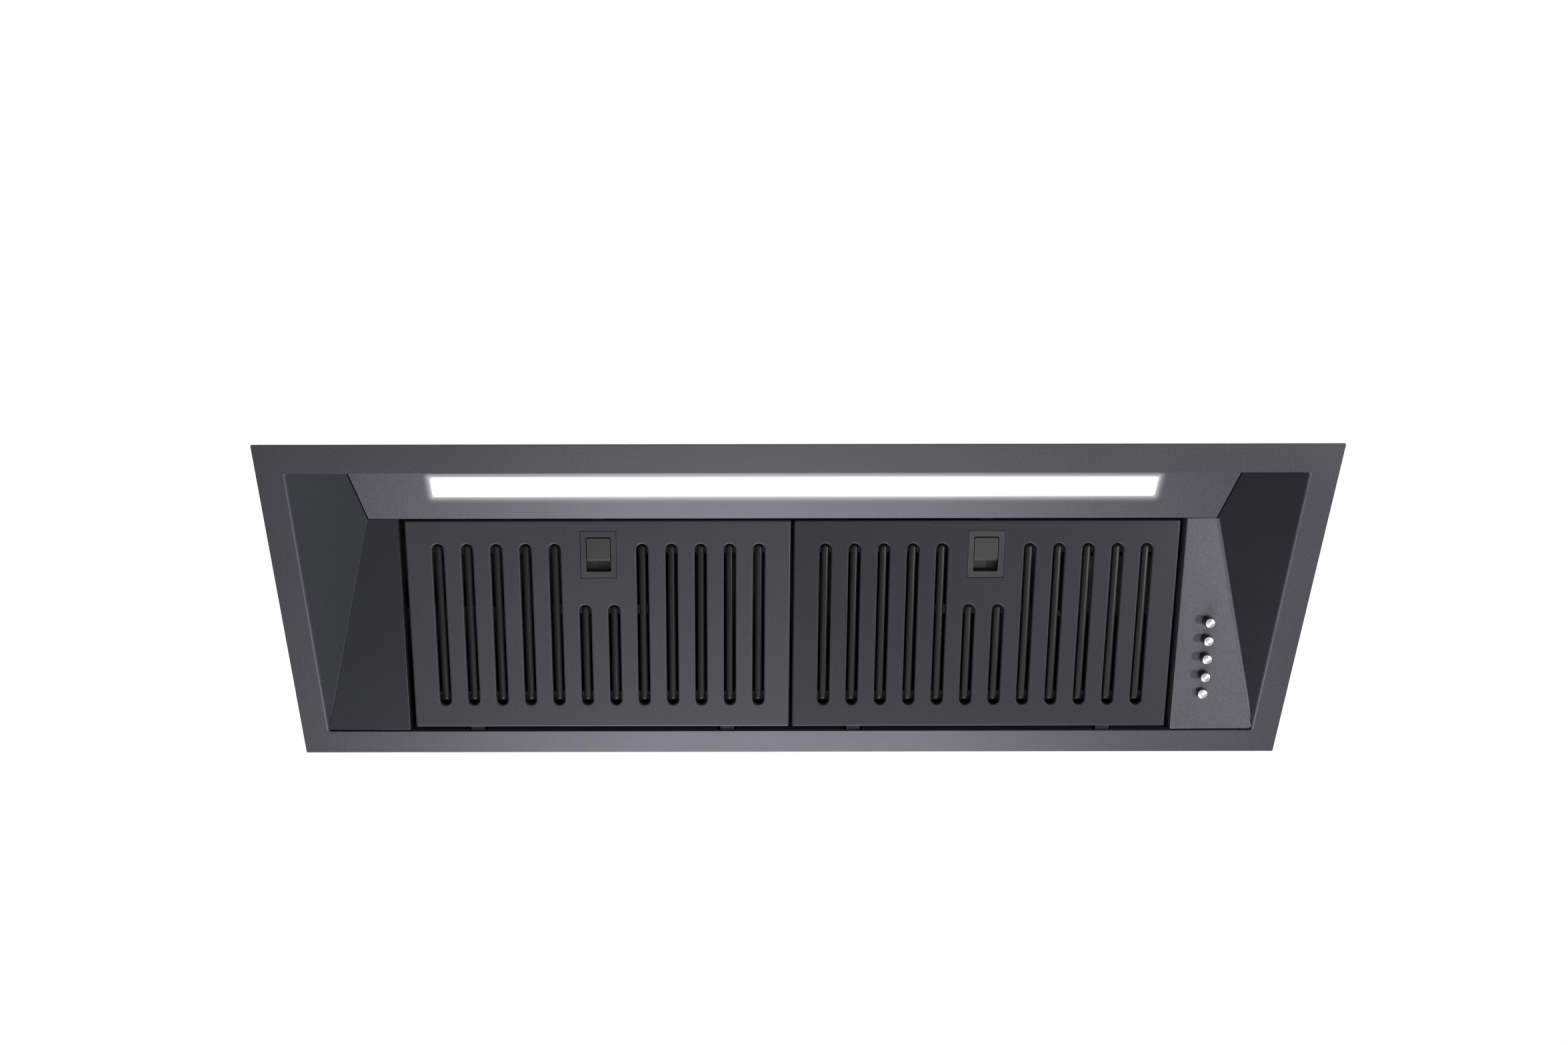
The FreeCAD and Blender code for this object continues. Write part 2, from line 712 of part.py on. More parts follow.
def filter_baffle():
    """Row of ribs behind the slots, joined by cross bars between the rims and round the latch."""
    places = slot_places()
    ribs = [baffle_rib(*place) for place in places]
    half = filter_width / 2 - sheet
    low = rib_face + rib_thickness
    high = low + rib_bar_thickness
    starts = sorted({start for _, start, _ in places})
    end = places[0][2] - rib_end_gap
    first = starts[0] + rib_end_gap
    latch_side = slot_pitch * (short_slot_count + 1) / 2 - rib_width / 2
    bars = [block(-half, -latch_side, first, first + rib_bar_width, low, high),
            block(latch_side, half, first, first + rib_bar_width, low, high),
            block(-half, half, end - rib_bar_width, end, low, high)]
    middle = starts[-1] + rib_end_gap
    reach = latch_side + rib_width
    bars.append(block(-reach, reach, middle, middle + rib_bar_width, low, high))
    return ribs[0].multiFuse(ribs[1:] + bars).removeSplitter()


def latch_bezel():
    """Moulded frame set into the filter's face, with a lip behind it and a pocket for the knob."""
    front, rear = latch_front(), latch_front() + latch_length
    half = latch_width / 2
    lip_high = sheet + latch_lip_thickness
    plate = block(-half, half, front, rear, latch_inset, sheet)
    lip = block(-half - latch_lip, half + latch_lip, front - latch_lip, rear + latch_lip, sheet, lip_high)
    pocket_half = latch_pocket_width / 2
    start, end = pocket_front(), pocket_front() + latch_pocket_length
    cup = block(-pocket_half - latch_wall, pocket_half + latch_wall, start - latch_wall, end + latch_wall,
                latch_inset, latch_pocket_depth + latch_wall)
    hole = rounded_plate(-pocket_half, pocket_half, start, end, latch_inset - cut_over, latch_pocket_depth,
                         latch_pocket_radius)
    bolt_half = bolt_width / 2 + bolt_clearance
    window = block(-bolt_half, bolt_half, start - latch_wall - cut_over, start + cut_over,
                   bolt_low - bolt_clearance, bolt_high + bolt_clearance)
    return plate.multiFuse([lip, cup]).cut(hole).cut(window)


def latch_slider():
    """Flat knob, bevelled at its rear end, and the bolt that reaches through the ridge fold."""
    start = pocket_front() + knob_start
    top = latch_pocket_depth - slide_clearance
    face = latch_inset + knob_recess
    knob = block(-knob_width / 2, knob_width / 2, start, start + knob_length, face, top)
    edge = [e for e in knob.Edges if e.BoundBox.YMin > start + knob_length / 2 and e.BoundBox.ZMax < top / 2]
    knob = knob.makeChamfer(knob_bevel, edge)
    bolt = block(-bolt_width / 2, bolt_width / 2, -bolt_reach, start + knob_start, bolt_low, bolt_high)
    return knob.fuse(bolt)


def side_filter(shape, side):
    """Place a filter piece on the left (-1) or right (+1) half."""
    return on_filter_plane(moved(shape, x=side * filter_centre_x))


# --- lamp -------------------------------------------------------------------------
def light_diffuser():
    """Opal strip: the raised middle fills the panel's hole, its lip lies behind the panel."""
    y1 = -diffuser_from_ridge
    y0 = y1 - diffuser_width
    half = diffuser_length / 2
    middle = rounded_plate(-half, half, y0, y1, 0, diffuser_thickness, diffuser_corner_radius)
    lip = block(-half - diffuser_lip, half + diffuser_lip, y0 - diffuser_lip, y1 + diffuser_lip, sheet,
                sheet + diffuser_thickness)
    return on_light_plane(middle.fuse(lip))


def light_channel():
    """Aluminium channel behind the diffuser that carries the board."""
    y1 = -diffuser_from_ridge + diffuser_lip
    y0 = y1 - diffuser_width - 2 * diffuser_lip
    half = diffuser_length / 2 + diffuser_lip
    low = sheet + diffuser_thickness
    wall = light_channel_wall
    body = block(-half, half, y0, y1, low, low + light_channel_height)
    body = body.cut(block(-half - 1, half + 1, y0 + wall, y1 - wall, low - 1, low + light_channel_height - wall))
    return on_light_plane(body)


def led_board():
    """Narrow board under the channel's web with a row of lamps facing down."""
    middle = -diffuser_from_ridge - diffuser_width / 2
    top = sheet + diffuser_thickness + light_channel_height - light_channel_wall
    half = diffuser_length / 2 - diffuser_lip
    board = block(-half, half, middle - led_board_width / 2, middle + led_board_width / 2,
                  top - led_board_thickness, top)
    lamps = []
    for i in range(led_count):
        x = -half + 2 * half * (i + 0.5) / led_count
        low = top - led_board_thickness - led_height
        lamps.append(block(x - led_size / 2, x + led_size / 2, middle - led_size / 2, middle + led_size / 2,
                           low, low + led_height))
    return on_light_plane(board.multiFuse(lamps))


# --- controls ---------------------------------------------------------------------
def button_places():
    """Distance of each button behind the ridge."""
    return [button_first + i * button_pitch for i in range(button_count)]


def drilled_end_panel():
    """The right end panel with the holes for the button bushes."""
    panel = end_panel()
    for s in button_places():
        hole = rod(button_radius + button_clearance + bush_sleeve_wall, (button_x, s, -2), (0, 0, 1), 4)
        panel = panel.cut(on_filter_plane(hole))
    return panel


def button_bushes():
    """Black ring and sleeve round each button."""
    bore = button_radius + button_clearance
    bushes = []
    for s in button_places():
        ring = rod(bush_radius, (button_x, s, -bush_proud), (0, 0, 1), bush_proud)
        edge = [e for e in ring.Edges if e.BoundBox.ZMax < -bush_proud / 2]
        ring = ring.makeChamfer(bush_edge, edge)
        sleeve = rod(bore + bush_sleeve_wall, (button_x, s, -bush_proud / 2), (0, 0, 1),
                     bush_proud / 2 + sheet + bush_sleeve_behind)
        hole = rod(bore, (button_x, s, -bush_proud - cut_over), (0, 0, 1),
                   bush_proud + sheet + bush_sleeve_behind + 2 * cut_over)
        bushes.append(ring.fuse(sleeve).cut(hole))
    return on_filter_plane(Part.makeCompound(bushes))


def button(index):
    """Round push button with its collar and stem; the last one stands latched in."""
    s = button_places()[index]
    cap = rod(button_radius, (button_x, s, -button_proud), (0, 0, 1), button_proud + button_clearance)
    edge = [e for e in cap.Edges if e.BoundBox.ZMax < -button_proud + 0.1]
    cap = cap.makeChamfer(button_edge, edge)
    seat = sheet + bush_sleeve_behind + slide_clearance
    shank = rod(button_radius, (button_x, s, 0), (0, 0, 1), seat)
    collar = rod(button_collar_radius, (button_x, s, seat), (0, 0, 1), button_collar_thickness)
    stem = rod(button_stem_radius, (button_x, s, 0), (0, 0, 1), stem_length)
    whole = cap.multiFuse([shank, collar, stem]).removeSplitter()
    latched = button_travel if index == button_count - 1 else 0.0
    return on_filter_plane(moved(whole, z=latched))


def switch_block():
    """Row of push switches on two legs; each takes the end of a button's stem."""
    places = button_places()
    y0, y1 = places[0] - switch_block_margin, places[-1] + switch_block_margin
    half = switch_block_width / 2
    low, high = switch_block_start, switch_block_start + switch_block_height
    body = block(button_x - half, button_x + half, y0, y1, low, high)
    for y in (y0, y1 - switch_leg):
        body = body.fuse(block(button_x - half, button_x + half, y, y + switch_leg, sheet, low))
    for s in places:
        depth = stem_engagement + button_travel * 2
        body = body.cut(rod(button_stem_radius + stem_clearance, (button_x, s, low - 1), (0, 0, 1), depth + 1))
    return on_filter_plane(body)


# --- electrics in the casing ------------------------------------------------------
def capacitor():
    """Run capacitor lying under the casing's top, beside the port."""
    z = casing_height - sheet - capacitor_radius - clip_wall
    can = rod(capacitor_radius, (capacitor_x, capacitor_y, z), (1, 0, 0), capacitor_length)
    return can.makeChamfer(capacitor_edge, [e for e in can.Edges if len(e.Vertexes) == 1])


def capacitor_clip():
    """Band round the capacitor with two feet on the casing's top."""
    z = casing_height - sheet - capacitor_radius - clip_wall
    x0 = capacitor_x + (capacitor_length - clip_width) / 2
    outer = rod(capacitor_radius + clip_wall, (x0, capacitor_y, z), (1, 0, 0), clip_width)
    reach = capacitor_radius + clip_wall + clip_foot
    top = casing_height - sheet
    feet = block(x0, x0 + clip_width, capacitor_y - reach, capacitor_y + reach, top - clip_wall, top)
    return outer.fuse(feet).cut(rod(capacitor_radius, (x0 - 1, capacitor_y, z), (1, 0, 0), clip_width + 2))


def led_driver():
    """Sealed lamp supply fixed under the casing's top."""
    top = casing_height - sheet
    body = block(driver_x - driver_length / 2, driver_x + driver_length / 2, driver_y - driver_width / 2,
                 driver_y + driver_width / 2, top - driver_height, top)
    upright = [e for e in body.Edges if abs(e.tangentAt(e.FirstParameter).z) > 0.9]
    return body.makeFillet(driver_corner_radius, upright)


def control_box():
    """Moulded tray under the casing's top that holds the control board."""
    top = casing_height - sheet
    x0, x1 = control_box_x - control_box_length / 2, control_box_x + control_box_length / 2
    y0, y1 = control_box_y - control_box_width / 2, control_box_y + control_box_width / 2
    wall = control_box_wall
    body = block(x0, x1, y0, y1, top - control_box_height, top)
    return body.cut(block(x0 + wall, x1 - wall, y0 + wall, y1 - wall, top - control_box_height + wall, top + 1))


def control_board():
    """Board on four pillars inside the control box."""
    low = casing_height - sheet - control_box_height + control_box_wall
    x0, x1 = control_box_x - control_box_length / 2, control_box_x + control_box_length / 2
    y0, y1 = control_box_y - control_box_width / 2, control_box_y + control_box_width / 2
    inset = control_box_wall + control_board_side_gap
    board = block(x0 + inset, x1 - inset, y0 + inset, y1 - inset, low + control_board_gap,
                  low + control_board_gap + control_board_thickness)
    corner = control_pillar_inset
    pillars = [rod(control_pillar_radius, (x, y, low), (0, 0, 1), control_board_gap)
               for x in (x0 + corner, x1 - corner) for y in (y0 + corner, y1 - corner)]
    return board.multiFuse(pillars)


def cable_gland():
    """Screwed gland for the supply lead, with a hexagonal nut above the casing's top."""
    low = casing_height - sheet - gland_below
    length = gland_below + sheet + gland_height
    body = rod(gland_radius, (gland_x, gland_y, low), (0, 0, 1), length)
    across = gland_nut_across / 2 / math.cos(math.pi / 6)
    corners = [(gland_x + across * math.cos(math.pi / 3 * i), gland_y + across * math.sin(math.pi / 3 * i),
                casing_height) for i in range(6)]
    nut = prism(corners, (0, 0, gland_nut_height))
    bore = rod(gland_bore, (gland_x, gland_y, low - cut_over), (0, 0, 1), length + 2 * cut_over)
    return body.fuse(nut).cut(bore)


# --- assembly ---------------------------------------------------------------------
def build():
    """Make every node, by name."""
    nodes = {
        "flange_frame": flange_frame(),
        "right_cheek": cheek(),
        "left_cheek": mirrored(cheek()),
        "light_panel": light_panel(),
        "right_end_panel": drilled_end_panel(),
        "left_end_panel": mirrored(end_panel()),
        "plenum_casing": plenum_casing(),
        "motor_housing": motor_housing(),
        "housing_screws": housing_screws(),
        "duct_collar": duct_collar(),
        "flap_spindle": flap_spindle(),
        "flap_left": flap(-1),
        "flap_right": flap(1),
        "blower_scroll": blower_scroll(),
        "impeller": impeller(),
        "motor_shaft": motor_shaft(),
        "motor_body": motor_body(),
        "motor_bracket": motor_bracket(),
        "motor_grommets": motor_grommets(),
        "light_diffuser": light_diffuser(),
        "light_channel": light_channel(),
        "led_board": led_board(),
        "button_bushes": button_bushes(),
        "switch_block": switch_block(),
        "capacitor": capacitor(),
        "capacitor_clip": capacitor_clip(),
        "led_driver": led_driver(),
        "control_box": control_box(),
        "control_board": control_board(),
        "cable_gland": cable_gland(),
    }
    for index in range(button_count):
        nodes[f"button_{index + 1}"] = button(index)
    face, baffle, bezel, slider = filter_face(), filter_baffle(), latch_bezel(), latch_slider()
    for name, side in (("left", -1), ("right", 1)):
        nodes[f"{name}_filter_face"] = side_filter(face, side)
        nodes[f"{name}_filter_baffle"] = side_filter(baffle, side)
        nodes[f"{name}_latch_bezel"] = side_filter(bezel, side)
        nodes[f"{name}_latch_slider"] = side_filter(slider, side)
    return nodes


os.makedirs("parts", exist_ok=True)
for name, shape in build().items():
    if not shape.isValid():
        print("not valid:", name)
    shape.exportStep(os.path.join("parts", name + ".step"))
    box = shape.BoundBox
    print(f"{name:22s} solids {len(shape.Solids)} x {box.XMin:7.1f} {box.XMax:7.1f} "
          f"y {box.YMin:7.1f} {box.YMax:7.1f} z {box.ZMin:6.1f} {box.ZMax:6.1f}")
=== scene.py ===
"""Looks of the range hood insert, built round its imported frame.

Metres, in the frame's own axes: +X right, +Y to the rear, +Z up into the cabinet. The hood
is seen from below and in front, so the faces that show are the undersides.
"""
import logging
import math
from dataclasses import dataclass
from enum import Enum

import bpy
import numpy as np
from mathutils import Euler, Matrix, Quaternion, Vector


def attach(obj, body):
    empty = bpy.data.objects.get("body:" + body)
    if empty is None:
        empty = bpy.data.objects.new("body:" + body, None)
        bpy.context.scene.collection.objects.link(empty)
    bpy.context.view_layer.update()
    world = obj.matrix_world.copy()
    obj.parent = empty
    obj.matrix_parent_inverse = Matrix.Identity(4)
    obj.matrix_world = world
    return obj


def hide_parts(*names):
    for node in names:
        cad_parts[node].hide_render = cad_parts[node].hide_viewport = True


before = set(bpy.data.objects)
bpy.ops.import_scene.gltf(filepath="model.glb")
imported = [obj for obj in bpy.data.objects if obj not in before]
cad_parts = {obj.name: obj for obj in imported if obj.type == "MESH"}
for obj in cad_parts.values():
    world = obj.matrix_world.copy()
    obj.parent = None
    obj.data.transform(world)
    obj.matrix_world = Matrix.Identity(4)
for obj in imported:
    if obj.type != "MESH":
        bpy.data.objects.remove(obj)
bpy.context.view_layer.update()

MM = 0.001
log = logging.getLogger("hood")


# --- shader building ----------------------------------------------------------------
class Value:
    """A shader socket that carries one number, with arithmetic that adds Math nodes."""

    def __init__(self, graph: "Graph", socket: bpy.types.NodeSocket) -> None:
        """Wrap a socket of a graph.

        Args:
            graph: the graph that new nodes go into.
            socket: the output socket that carries the number.
        """
        self.graph = graph
        self.socket = socket

    def _math(self, operation: str, a: "Value | float", b: "Value | float") -> "Value":
        """Add one Math node and wrap its result."""
        node = self.graph.node("ShaderNodeMath", {"operation": operation}, {0: a, 1: b})
        return Value(self.graph, node.outputs[0])

    def __add__(self, other: "Value | float") -> "Value":
        """Sum."""
        return self._math("ADD", self, other)

    __radd__ = __add__

    def __mul__(self, other: "Value | float") -> "Value":
        """Product."""
        return self._math("MULTIPLY", self, other)

    __rmul__ = __mul__

    def __sub__(self, other: "Value | float") -> "Value":
        """Difference."""
        return self._math("SUBTRACT", self, other)

    def __rsub__(self, other: float) -> "Value":
        """Difference from a number."""
        return self._math("SUBTRACT", other, self)

    def __truediv__(self, other: "Value | float") -> "Value":
        """Quotient."""
        return self._math("DIVIDE", self, other)

    def __rtruediv__(self, other: float) -> "Value":
        """Quotient of a number."""
        return self._math("DIVIDE", other, self)

    def __pow__(self, other: float) -> "Value":
        """Power."""
        return self._math("POWER", self, other)

    def __rpow__(self, other: float) -> "Value":
        """Power of a number."""
        return self._math("POWER", other, self)

    def magnitude(self) -> "Value":
        """Absolute value."""
        return self._math("ABSOLUTE", self, 0.0)

    def at_most(self, other: "Value | float") -> "Value":
        """The lesser of two values."""
        return self._math("MINIMUM", self, other)

    def at_least(self, other: "Value | float") -> "Value":
        """The greater of two values."""
        return self._math("MAXIMUM", self, other)


class Graph:
    """The node tree of one material, with one method that adds any node."""

    def __init__(self, tree: bpy.types.NodeTree) -> None:
        """Start with an empty tree.

        Args:
            tree: the node tree to fill.
        """
        self.tree = tree
        tree.nodes.clear()

    def node(self, kind: str, settings: dict | None = None, inputs: dict | None = None) -> bpy.types.Node:
        """Add a node.

        Args:
            kind: the node's type.
            settings: attributes to set before the sockets; "stops" fills a colour ramp.
            inputs: socket name or index to a number, colour, socket or Value.

        Returns:
            The new node.
        """
        made = self.tree.nodes.new(kind)
        for key, value in (settings or {}).items():
            if key == "stops":
                self._fill_ramp(made, value)
            else:
                setattr(made, key, value)
        for key, value in (inputs or {}).items():
            socket = made.inputs[key]
            if isinstance(value, Value):
                self.tree.links.new(value.socket, socket)
            elif isinstance(value, bpy.types.NodeSocket):
                self.tree.links.new(value, socket)
            else:
                socket.default_value = value
        return made

    @staticmethod
    def _fill_ramp(node: bpy.types.Node, stops: list[tuple[float, tuple[float, ...]]]) -> None:
        """Give a colour ramp its stops.

        Args:
            node: the ramp's node.
            stops: place from 0 to 1 and colour of each stop.
        """
        ramp = node.color_ramp
        while len(ramp.elements) < len(stops):
            ramp.elements.new(0.5)
        for element, (place, colour) in zip(ramp.elements, stops):
            element.position = place
            element.color = colour

    def place(self) -> bpy.types.NodeSocket:
        """Object coordinates, which are the frame's metres."""
        return self.node("ShaderNodeTexCoord").outputs["Object"]

    def noise(self, scale: float, detail: float = 2.0, rough: float = 0.5,
              stretch: tuple = (1, 1, 1)) -> Value:
        """Noise from 0 to 1.

        Args:
            scale: features per metre.
            detail: octaves.
            rough: share of the finer octaves.
            stretch: factors on the coordinates, for grain.

        Returns:
            The noise value.
        """
        where = self.node("ShaderNodeMapping", {}, {"Vector": self.place(), "Scale": stretch})
        made = self.node("ShaderNodeTexNoise", {},
                         {"Vector": where.outputs[0], "Scale": scale, "Detail": detail, "Roughness": rough})
        return Value(self, made.outputs["Fac"])

    def ramp(self, value: Value, stops: list[tuple[float, tuple[float, ...]]]) -> bpy.types.NodeSocket:
        """Colour ramp of a value."""
        return self.node("ShaderNodeValToRGB", {"stops": stops}, {"Fac": value}).outputs["Color"]

    def mix(self, share: Value, first: object, second: object) -> bpy.types.NodeSocket:
        """Blend two colours.

        Args:
            share: how much of the second, from 0 to 1.
            first: colour or socket.
            second: colour or socket.

        Returns:
            The blended colour's socket.
        """
        made = self.node("ShaderNodeMix", {"data_type": "RGBA"}, {"Factor": share, 6: first, 7: second})
        return made.outputs[2]

    def spread(self, value: Value, low: float, high: float, to_low: float, to_high: float) -> Value:
        """Map a range to another, clamped.

        Args:
            value: the number to map.
            low: where the first range starts.
            high: where it ends.
            to_low: where the second range starts.
            to_high: where it ends.

        Returns:
            The mapped value.
        """
        made = self.node("ShaderNodeMapRange", {}, {"Value": value, "From Min": low, "From Max": high,
                                                     "To Min": to_low, "To Max": to_high})
        return Value(self, made.outputs[0])

    def bump(self, height: Value, distance: float) -> bpy.types.NodeSocket:
        """Normal from a height field."""
        made = self.node("ShaderNodeBump", {}, {"Height": height, "Distance": distance, "Strength": 1.0})
        return made.outputs["Normal"]

    def principled(self, inputs: dict) -> bpy.types.Node:
        """Principled surface wired to the output.

        Args:
            inputs: socket name to a number, colour, socket or Value.

        Returns:
            The surface's node.
        """
        made = self.node("ShaderNodeBsdfPrincipled", {}, inputs)
        self.node("ShaderNodeOutputMaterial", {}, {"Surface": made.outputs[0]})
        return made


def new_material(name: str) -> tuple[bpy.types.Material, Graph]:
    """Make an empty node material.

    Args:
        name: the material's name.

    Returns:
        The material and its graph.
    """
    material = bpy.data.materials.new(name)
    material.use_nodes = True
    return material, Graph(material.node_tree)


def shade(colour: tuple[float, float, float], factor: float) -> tuple[float, float, float, float]:
    """Make a colour lighter or darker, with alpha 1."""
    return (colour[0] * factor, colour[1] * factor, colour[2] * factor, 1.0)


# --- finishes -----------------------------------------------------------------------
@dataclass(frozen=True)
class PowderCoat:
    """Fine-textured metallic powder coat with speckle and slow cloudiness, and, where asked, a painted glow
    round the lamp strip.
    """

    name: str
    colour: tuple[float, float, float]
    metallic: float = 0.45
    roughness: float = 0.42
    speckle: float = 0.22
    grain_per_metre: float = 1700.0
    grain_depth: float = 0.00004
    gloss: float = 0.28
    coarse_share: float = 0.38
    clouds_per_metre: float = 9.0
    painted_glow_strength: float = 0.0
    lamp_half: tuple[float, float] = (0.3015, 0.0096)
    lamp_y: float = -0.0931
    painted_glow_reach: float = 0.009

    def glow(self, g: Graph) -> Value:
        """Painted glow round the lamp strip: the panel emits light in place of what the strip scatters onto
        it.

        The distance to the strip is the hypotenuse of how far the point stands past its
        end and past its side; the glow is one less the share of the reach, cubed.

        Args:
            g: the material's graph.

        Returns:
            The glow, from 0 to 1.
        """
        axes = g.node("ShaderNodeSeparateXYZ", {}, {0: g.place()})
        x, y = Value(g, axes.outputs[0]), Value(g, axes.outputs[1])
        past_end = (x.magnitude() - self.lamp_half[0]).at_least(0.0)
        past_side = ((y - self.lamp_y).magnitude() - self.lamp_half[1]).at_least(0.0)
        away = (past_end * past_end + past_side * past_side) ** 0.5
        return (1.0 - away / self.painted_glow_reach).at_least(0.0) ** 3.0

    def material(self) -> bpy.types.Material:
        """Build the material.

        Returns:
            The finished material.
        """
        material, g = new_material(self.name)
        fine = g.noise(self.grain_per_metre, 2.0, 0.6)
        coarse = g.noise(self.grain_per_metre * self.coarse_share, 1.0)
        cloud = g.noise(self.clouds_per_metre, 3.0)
        tone = fine * 0.6 + coarse * 0.4
        stops = [(0.28, shade(self.colour, 1 - self.speckle)), (0.5, shade(self.colour, 1.0)),
                 (0.72, shade(self.colour, 1 + 1.6 * self.speckle))]
        colour = g.ramp(tone * 0.92 + cloud * 0.08, stops)
        rough = g.spread(cloud * 0.5 + coarse * 0.5, 0.3, 0.7, self.roughness - 0.04, self.roughness + 0.05)
        normal = g.bump(fine * 0.5 + coarse, self.grain_depth)
        inputs = {"Base Color": colour, "Metallic": self.metallic, "Roughness": rough, "Normal": normal,
                  "Specular IOR Level": self.gloss}
        # Painted glow: the panel itself emits round the lamp strip, though it is no lamp.
        if self.painted_glow_strength:
            inputs["Emission Color"] = g.ramp(self.glow(g), [(0.0, (0, 0, 0, 1)), (1.0, (1, 1, 1, 1))])
            inputs["Emission Strength"] = self.painted_glow_strength
        g.principled(inputs)
        return material


@dataclass(frozen=True)
class GalvanisedSheet:
    """Zinc-coated sheet: soft crystal spangle outside, and painted shade inside the body.

    Each painted shade box is (half x, low y, high y, high z) in metres; sheet faces inside any
    of them turn near-black, not metallic and a little rougher, where the body's inside lies in
    shade. The first box is also cut by the casing's sloping front, which is at slope_y on the
    level y = 0, z = 0 line and leans back by slope_lean.
    """

    name: str
    colour: tuple[float, float, float] = (0.34, 0.352, 0.365)
    painted_shade_colour: tuple[float, float, float] = (0.012, 0.012, 0.014)
    spangle_per_metre: float = 95.0
    metallic: float = 0.55
    roughness: tuple[float, float] = (0.56, 0.72)
    painted_shade_roughness: float = 0.1
    slope_y: float = -0.1469
    slope_lean: float = 0.483
    painted_shade_boxes: tuple[tuple[float, float, float, float], ...] = ((0.4161, -0.1301, 0.1301, 0.0946),
                                                              (0.1896, -0.0461, 0.1271, 0.2196))

    def inside(self, g: Graph) -> Value:
        """Mask of the painted shade: one inside any of its boxes and nought outside all of them.

        The depth in a box is the greatest of the coordinates' overshoots past its sides,
        negative inside; the least depth over the boxes is turned into a step.

        Args:
            g: the material's graph.

        Returns:
            The mask, from 0 to 1.
        """
        axes = g.node("ShaderNodeSeparateXYZ", {}, {0: g.place()})
        x, y, z = (Value(g, socket) for socket in axes.outputs)
        depths = [(x.magnitude() - half).at_least((low - y).at_least(y - high)).at_least(z - top)
                  for half, low, high, top in self.painted_shade_boxes]
        least = depths[0].at_least(self.slope_y + z * self.slope_lean - y).at_most(depths[1])
        return g.spread(least, -0.0002, 0.0002, 1.0, 0.0)

    def material(self) -> bpy.types.Material:
        """Build the material.

        Returns:
            The finished material.
        """
        material, g = new_material(self.name)
        cells = g.node("ShaderNodeTexVoronoi", {"feature": "F1"},
                       {"Vector": g.place(), "Scale": self.spangle_per_metre, "Randomness": 1.0})
        tone = Value(g, g.node("ShaderNodeSeparateColor", {}, {0: cells.outputs["Color"]}).outputs[0])
        cloud = g.noise(14.0, 4.0)
        fine = g.noise(900.0, 2.0)
        mixed = tone * 0.45 + cloud * 0.4 + fine * 0.15
        zinc = g.ramp(mixed, [(0.2, shade(self.colour, 0.78)), (0.8, shade(self.colour, 1.15))])
        # Painted shade: inside the boxes the zinc gives way to a near-black, unmetallic, rougher coat, where
        # the body's inside lies in shade.
        inside = self.inside(g)
        colour = g.mix(inside, zinc, shade(self.painted_shade_colour, 1.0))
        rough = g.spread(tone * 0.6 + cloud * 0.4, 0.0, 1.0, *self.roughness)
        g.principled({"Base Color": colour, "Metallic": self.metallic - inside * self.metallic,
                      "Roughness": rough + inside * self.painted_shade_roughness,
                      "Normal": g.bump(cloud * 0.7 + fine * 0.3, 0.00002)})
        return material


@dataclass(frozen=True)
class MouldedPlastic:
    """Injection-moulded plastic with a fine spark-eroded grain."""

    name: str
    colour: tuple[float, float, float]
    roughness: float = 0.45
    grain_per_metre: float = 4200.0

    def material(self) -> bpy.types.Material:
        """Build the material.

        Returns:
            The finished material.
        """
        material, g = new_material(self.name)
        grain = g.noise(self.grain_per_metre, 2.0)
        cloud = g.noise(30.0, 3.0)
        stops = [(0.3, shade(self.colour, 0.85)), (0.7, shade(self.colour, 1.18))]
        colour = g.ramp(grain * 0.5 + cloud * 0.5, stops)
        rough = g.spread(cloud, 0.3, 0.7, self.roughness - 0.05, self.roughness + 0.06)
        g.principled({"Base Color": colour, "Roughness": rough, "Normal": g.bump(grain, 0.00002)})
        return material


@dataclass(frozen=True)
class PlainMetal:
    """Turned, cast or plated metal with faint tooling marks."""

    name: str
    colour: tuple[float, float, float]
    roughness: float = 0.15
    grain_per_metre: float = 900.0
    stretch: tuple[float, float, float] = (1.0, 1.0, 1.0)
    depth: float = 0.00001

    def material(self) -> bpy.types.Material:
        """Build the material.

        Returns:
            The finished material.
        """
        material, g = new_material(self.name)
        grain = g.noise(self.grain_per_metre, 3.0, 0.6, self.stretch)
        cloud = g.noise(60.0, 2.0)
        stops = [(0.3, shade(self.colour, 0.88)), (0.7, shade(self.colour, 1.06))]
        colour = g.ramp(grain * 0.4 + cloud * 0.6, stops)
        rough = g.spread(grain * 0.5 + cloud * 0.5, 0.3, 0.7, self.roughness * 0.75, self.roughness * 1.3)
        g.principled({"Base Color": colour, "Metallic": 1.0, "Roughness": rough,
                      "Normal": g.bump(grain, self.depth)})
        return material


@dataclass(frozen=True)
class LitOpal:
    """Opal diffuser, lit from behind, with a faint cloudy unevenness in its glow."""

    name: str
    strength: float = 1.6

    def material(self) -> bpy.types.Material:
        """Build the material.

        Returns:
            The finished material.
        """
        material, g = new_material(self.name)
        cloud = g.noise(25.0, 2.0)
        glow = g.ramp(cloud, [(0.2, (0.97, 0.985, 1.0, 1.0)), (0.8, (1.0, 1.0, 1.0, 1.0))])
        colour = g.ramp(cloud, [(0.2, (0.86, 0.87, 0.88, 1.0)), (0.8, (0.92, 0.92, 0.92, 1.0))])
        g.principled({"Base Color": colour, "Roughness": 0.35, "Emission Color": glow,
                      "Emission Strength": self.strength})
        return material


@dataclass(frozen=True)
class CircuitBoard:
    """Lacquered board with a hint of its copper tracks."""

    name: str
    colour: tuple[float, float, float] = (0.03, 0.16, 0.07)

    def material(self) -> bpy.types.Material:
        """Build the material.

        Returns:
            The finished material.
        """
        material, g = new_material(self.name)
        look = {"Vector": g.place(), "Scale": 90.0, "Color1": shade(self.colour, 1.0),
                "Color2": shade(self.colour, 1.25), "Mortar": shade(self.colour, 1.9), "Mortar Size": 0.03}
        tracks = g.node("ShaderNodeTexBrick", {}, look)
        g.principled({"Base Color": tracks.outputs["Color"], "Roughness": 0.3})
        return material


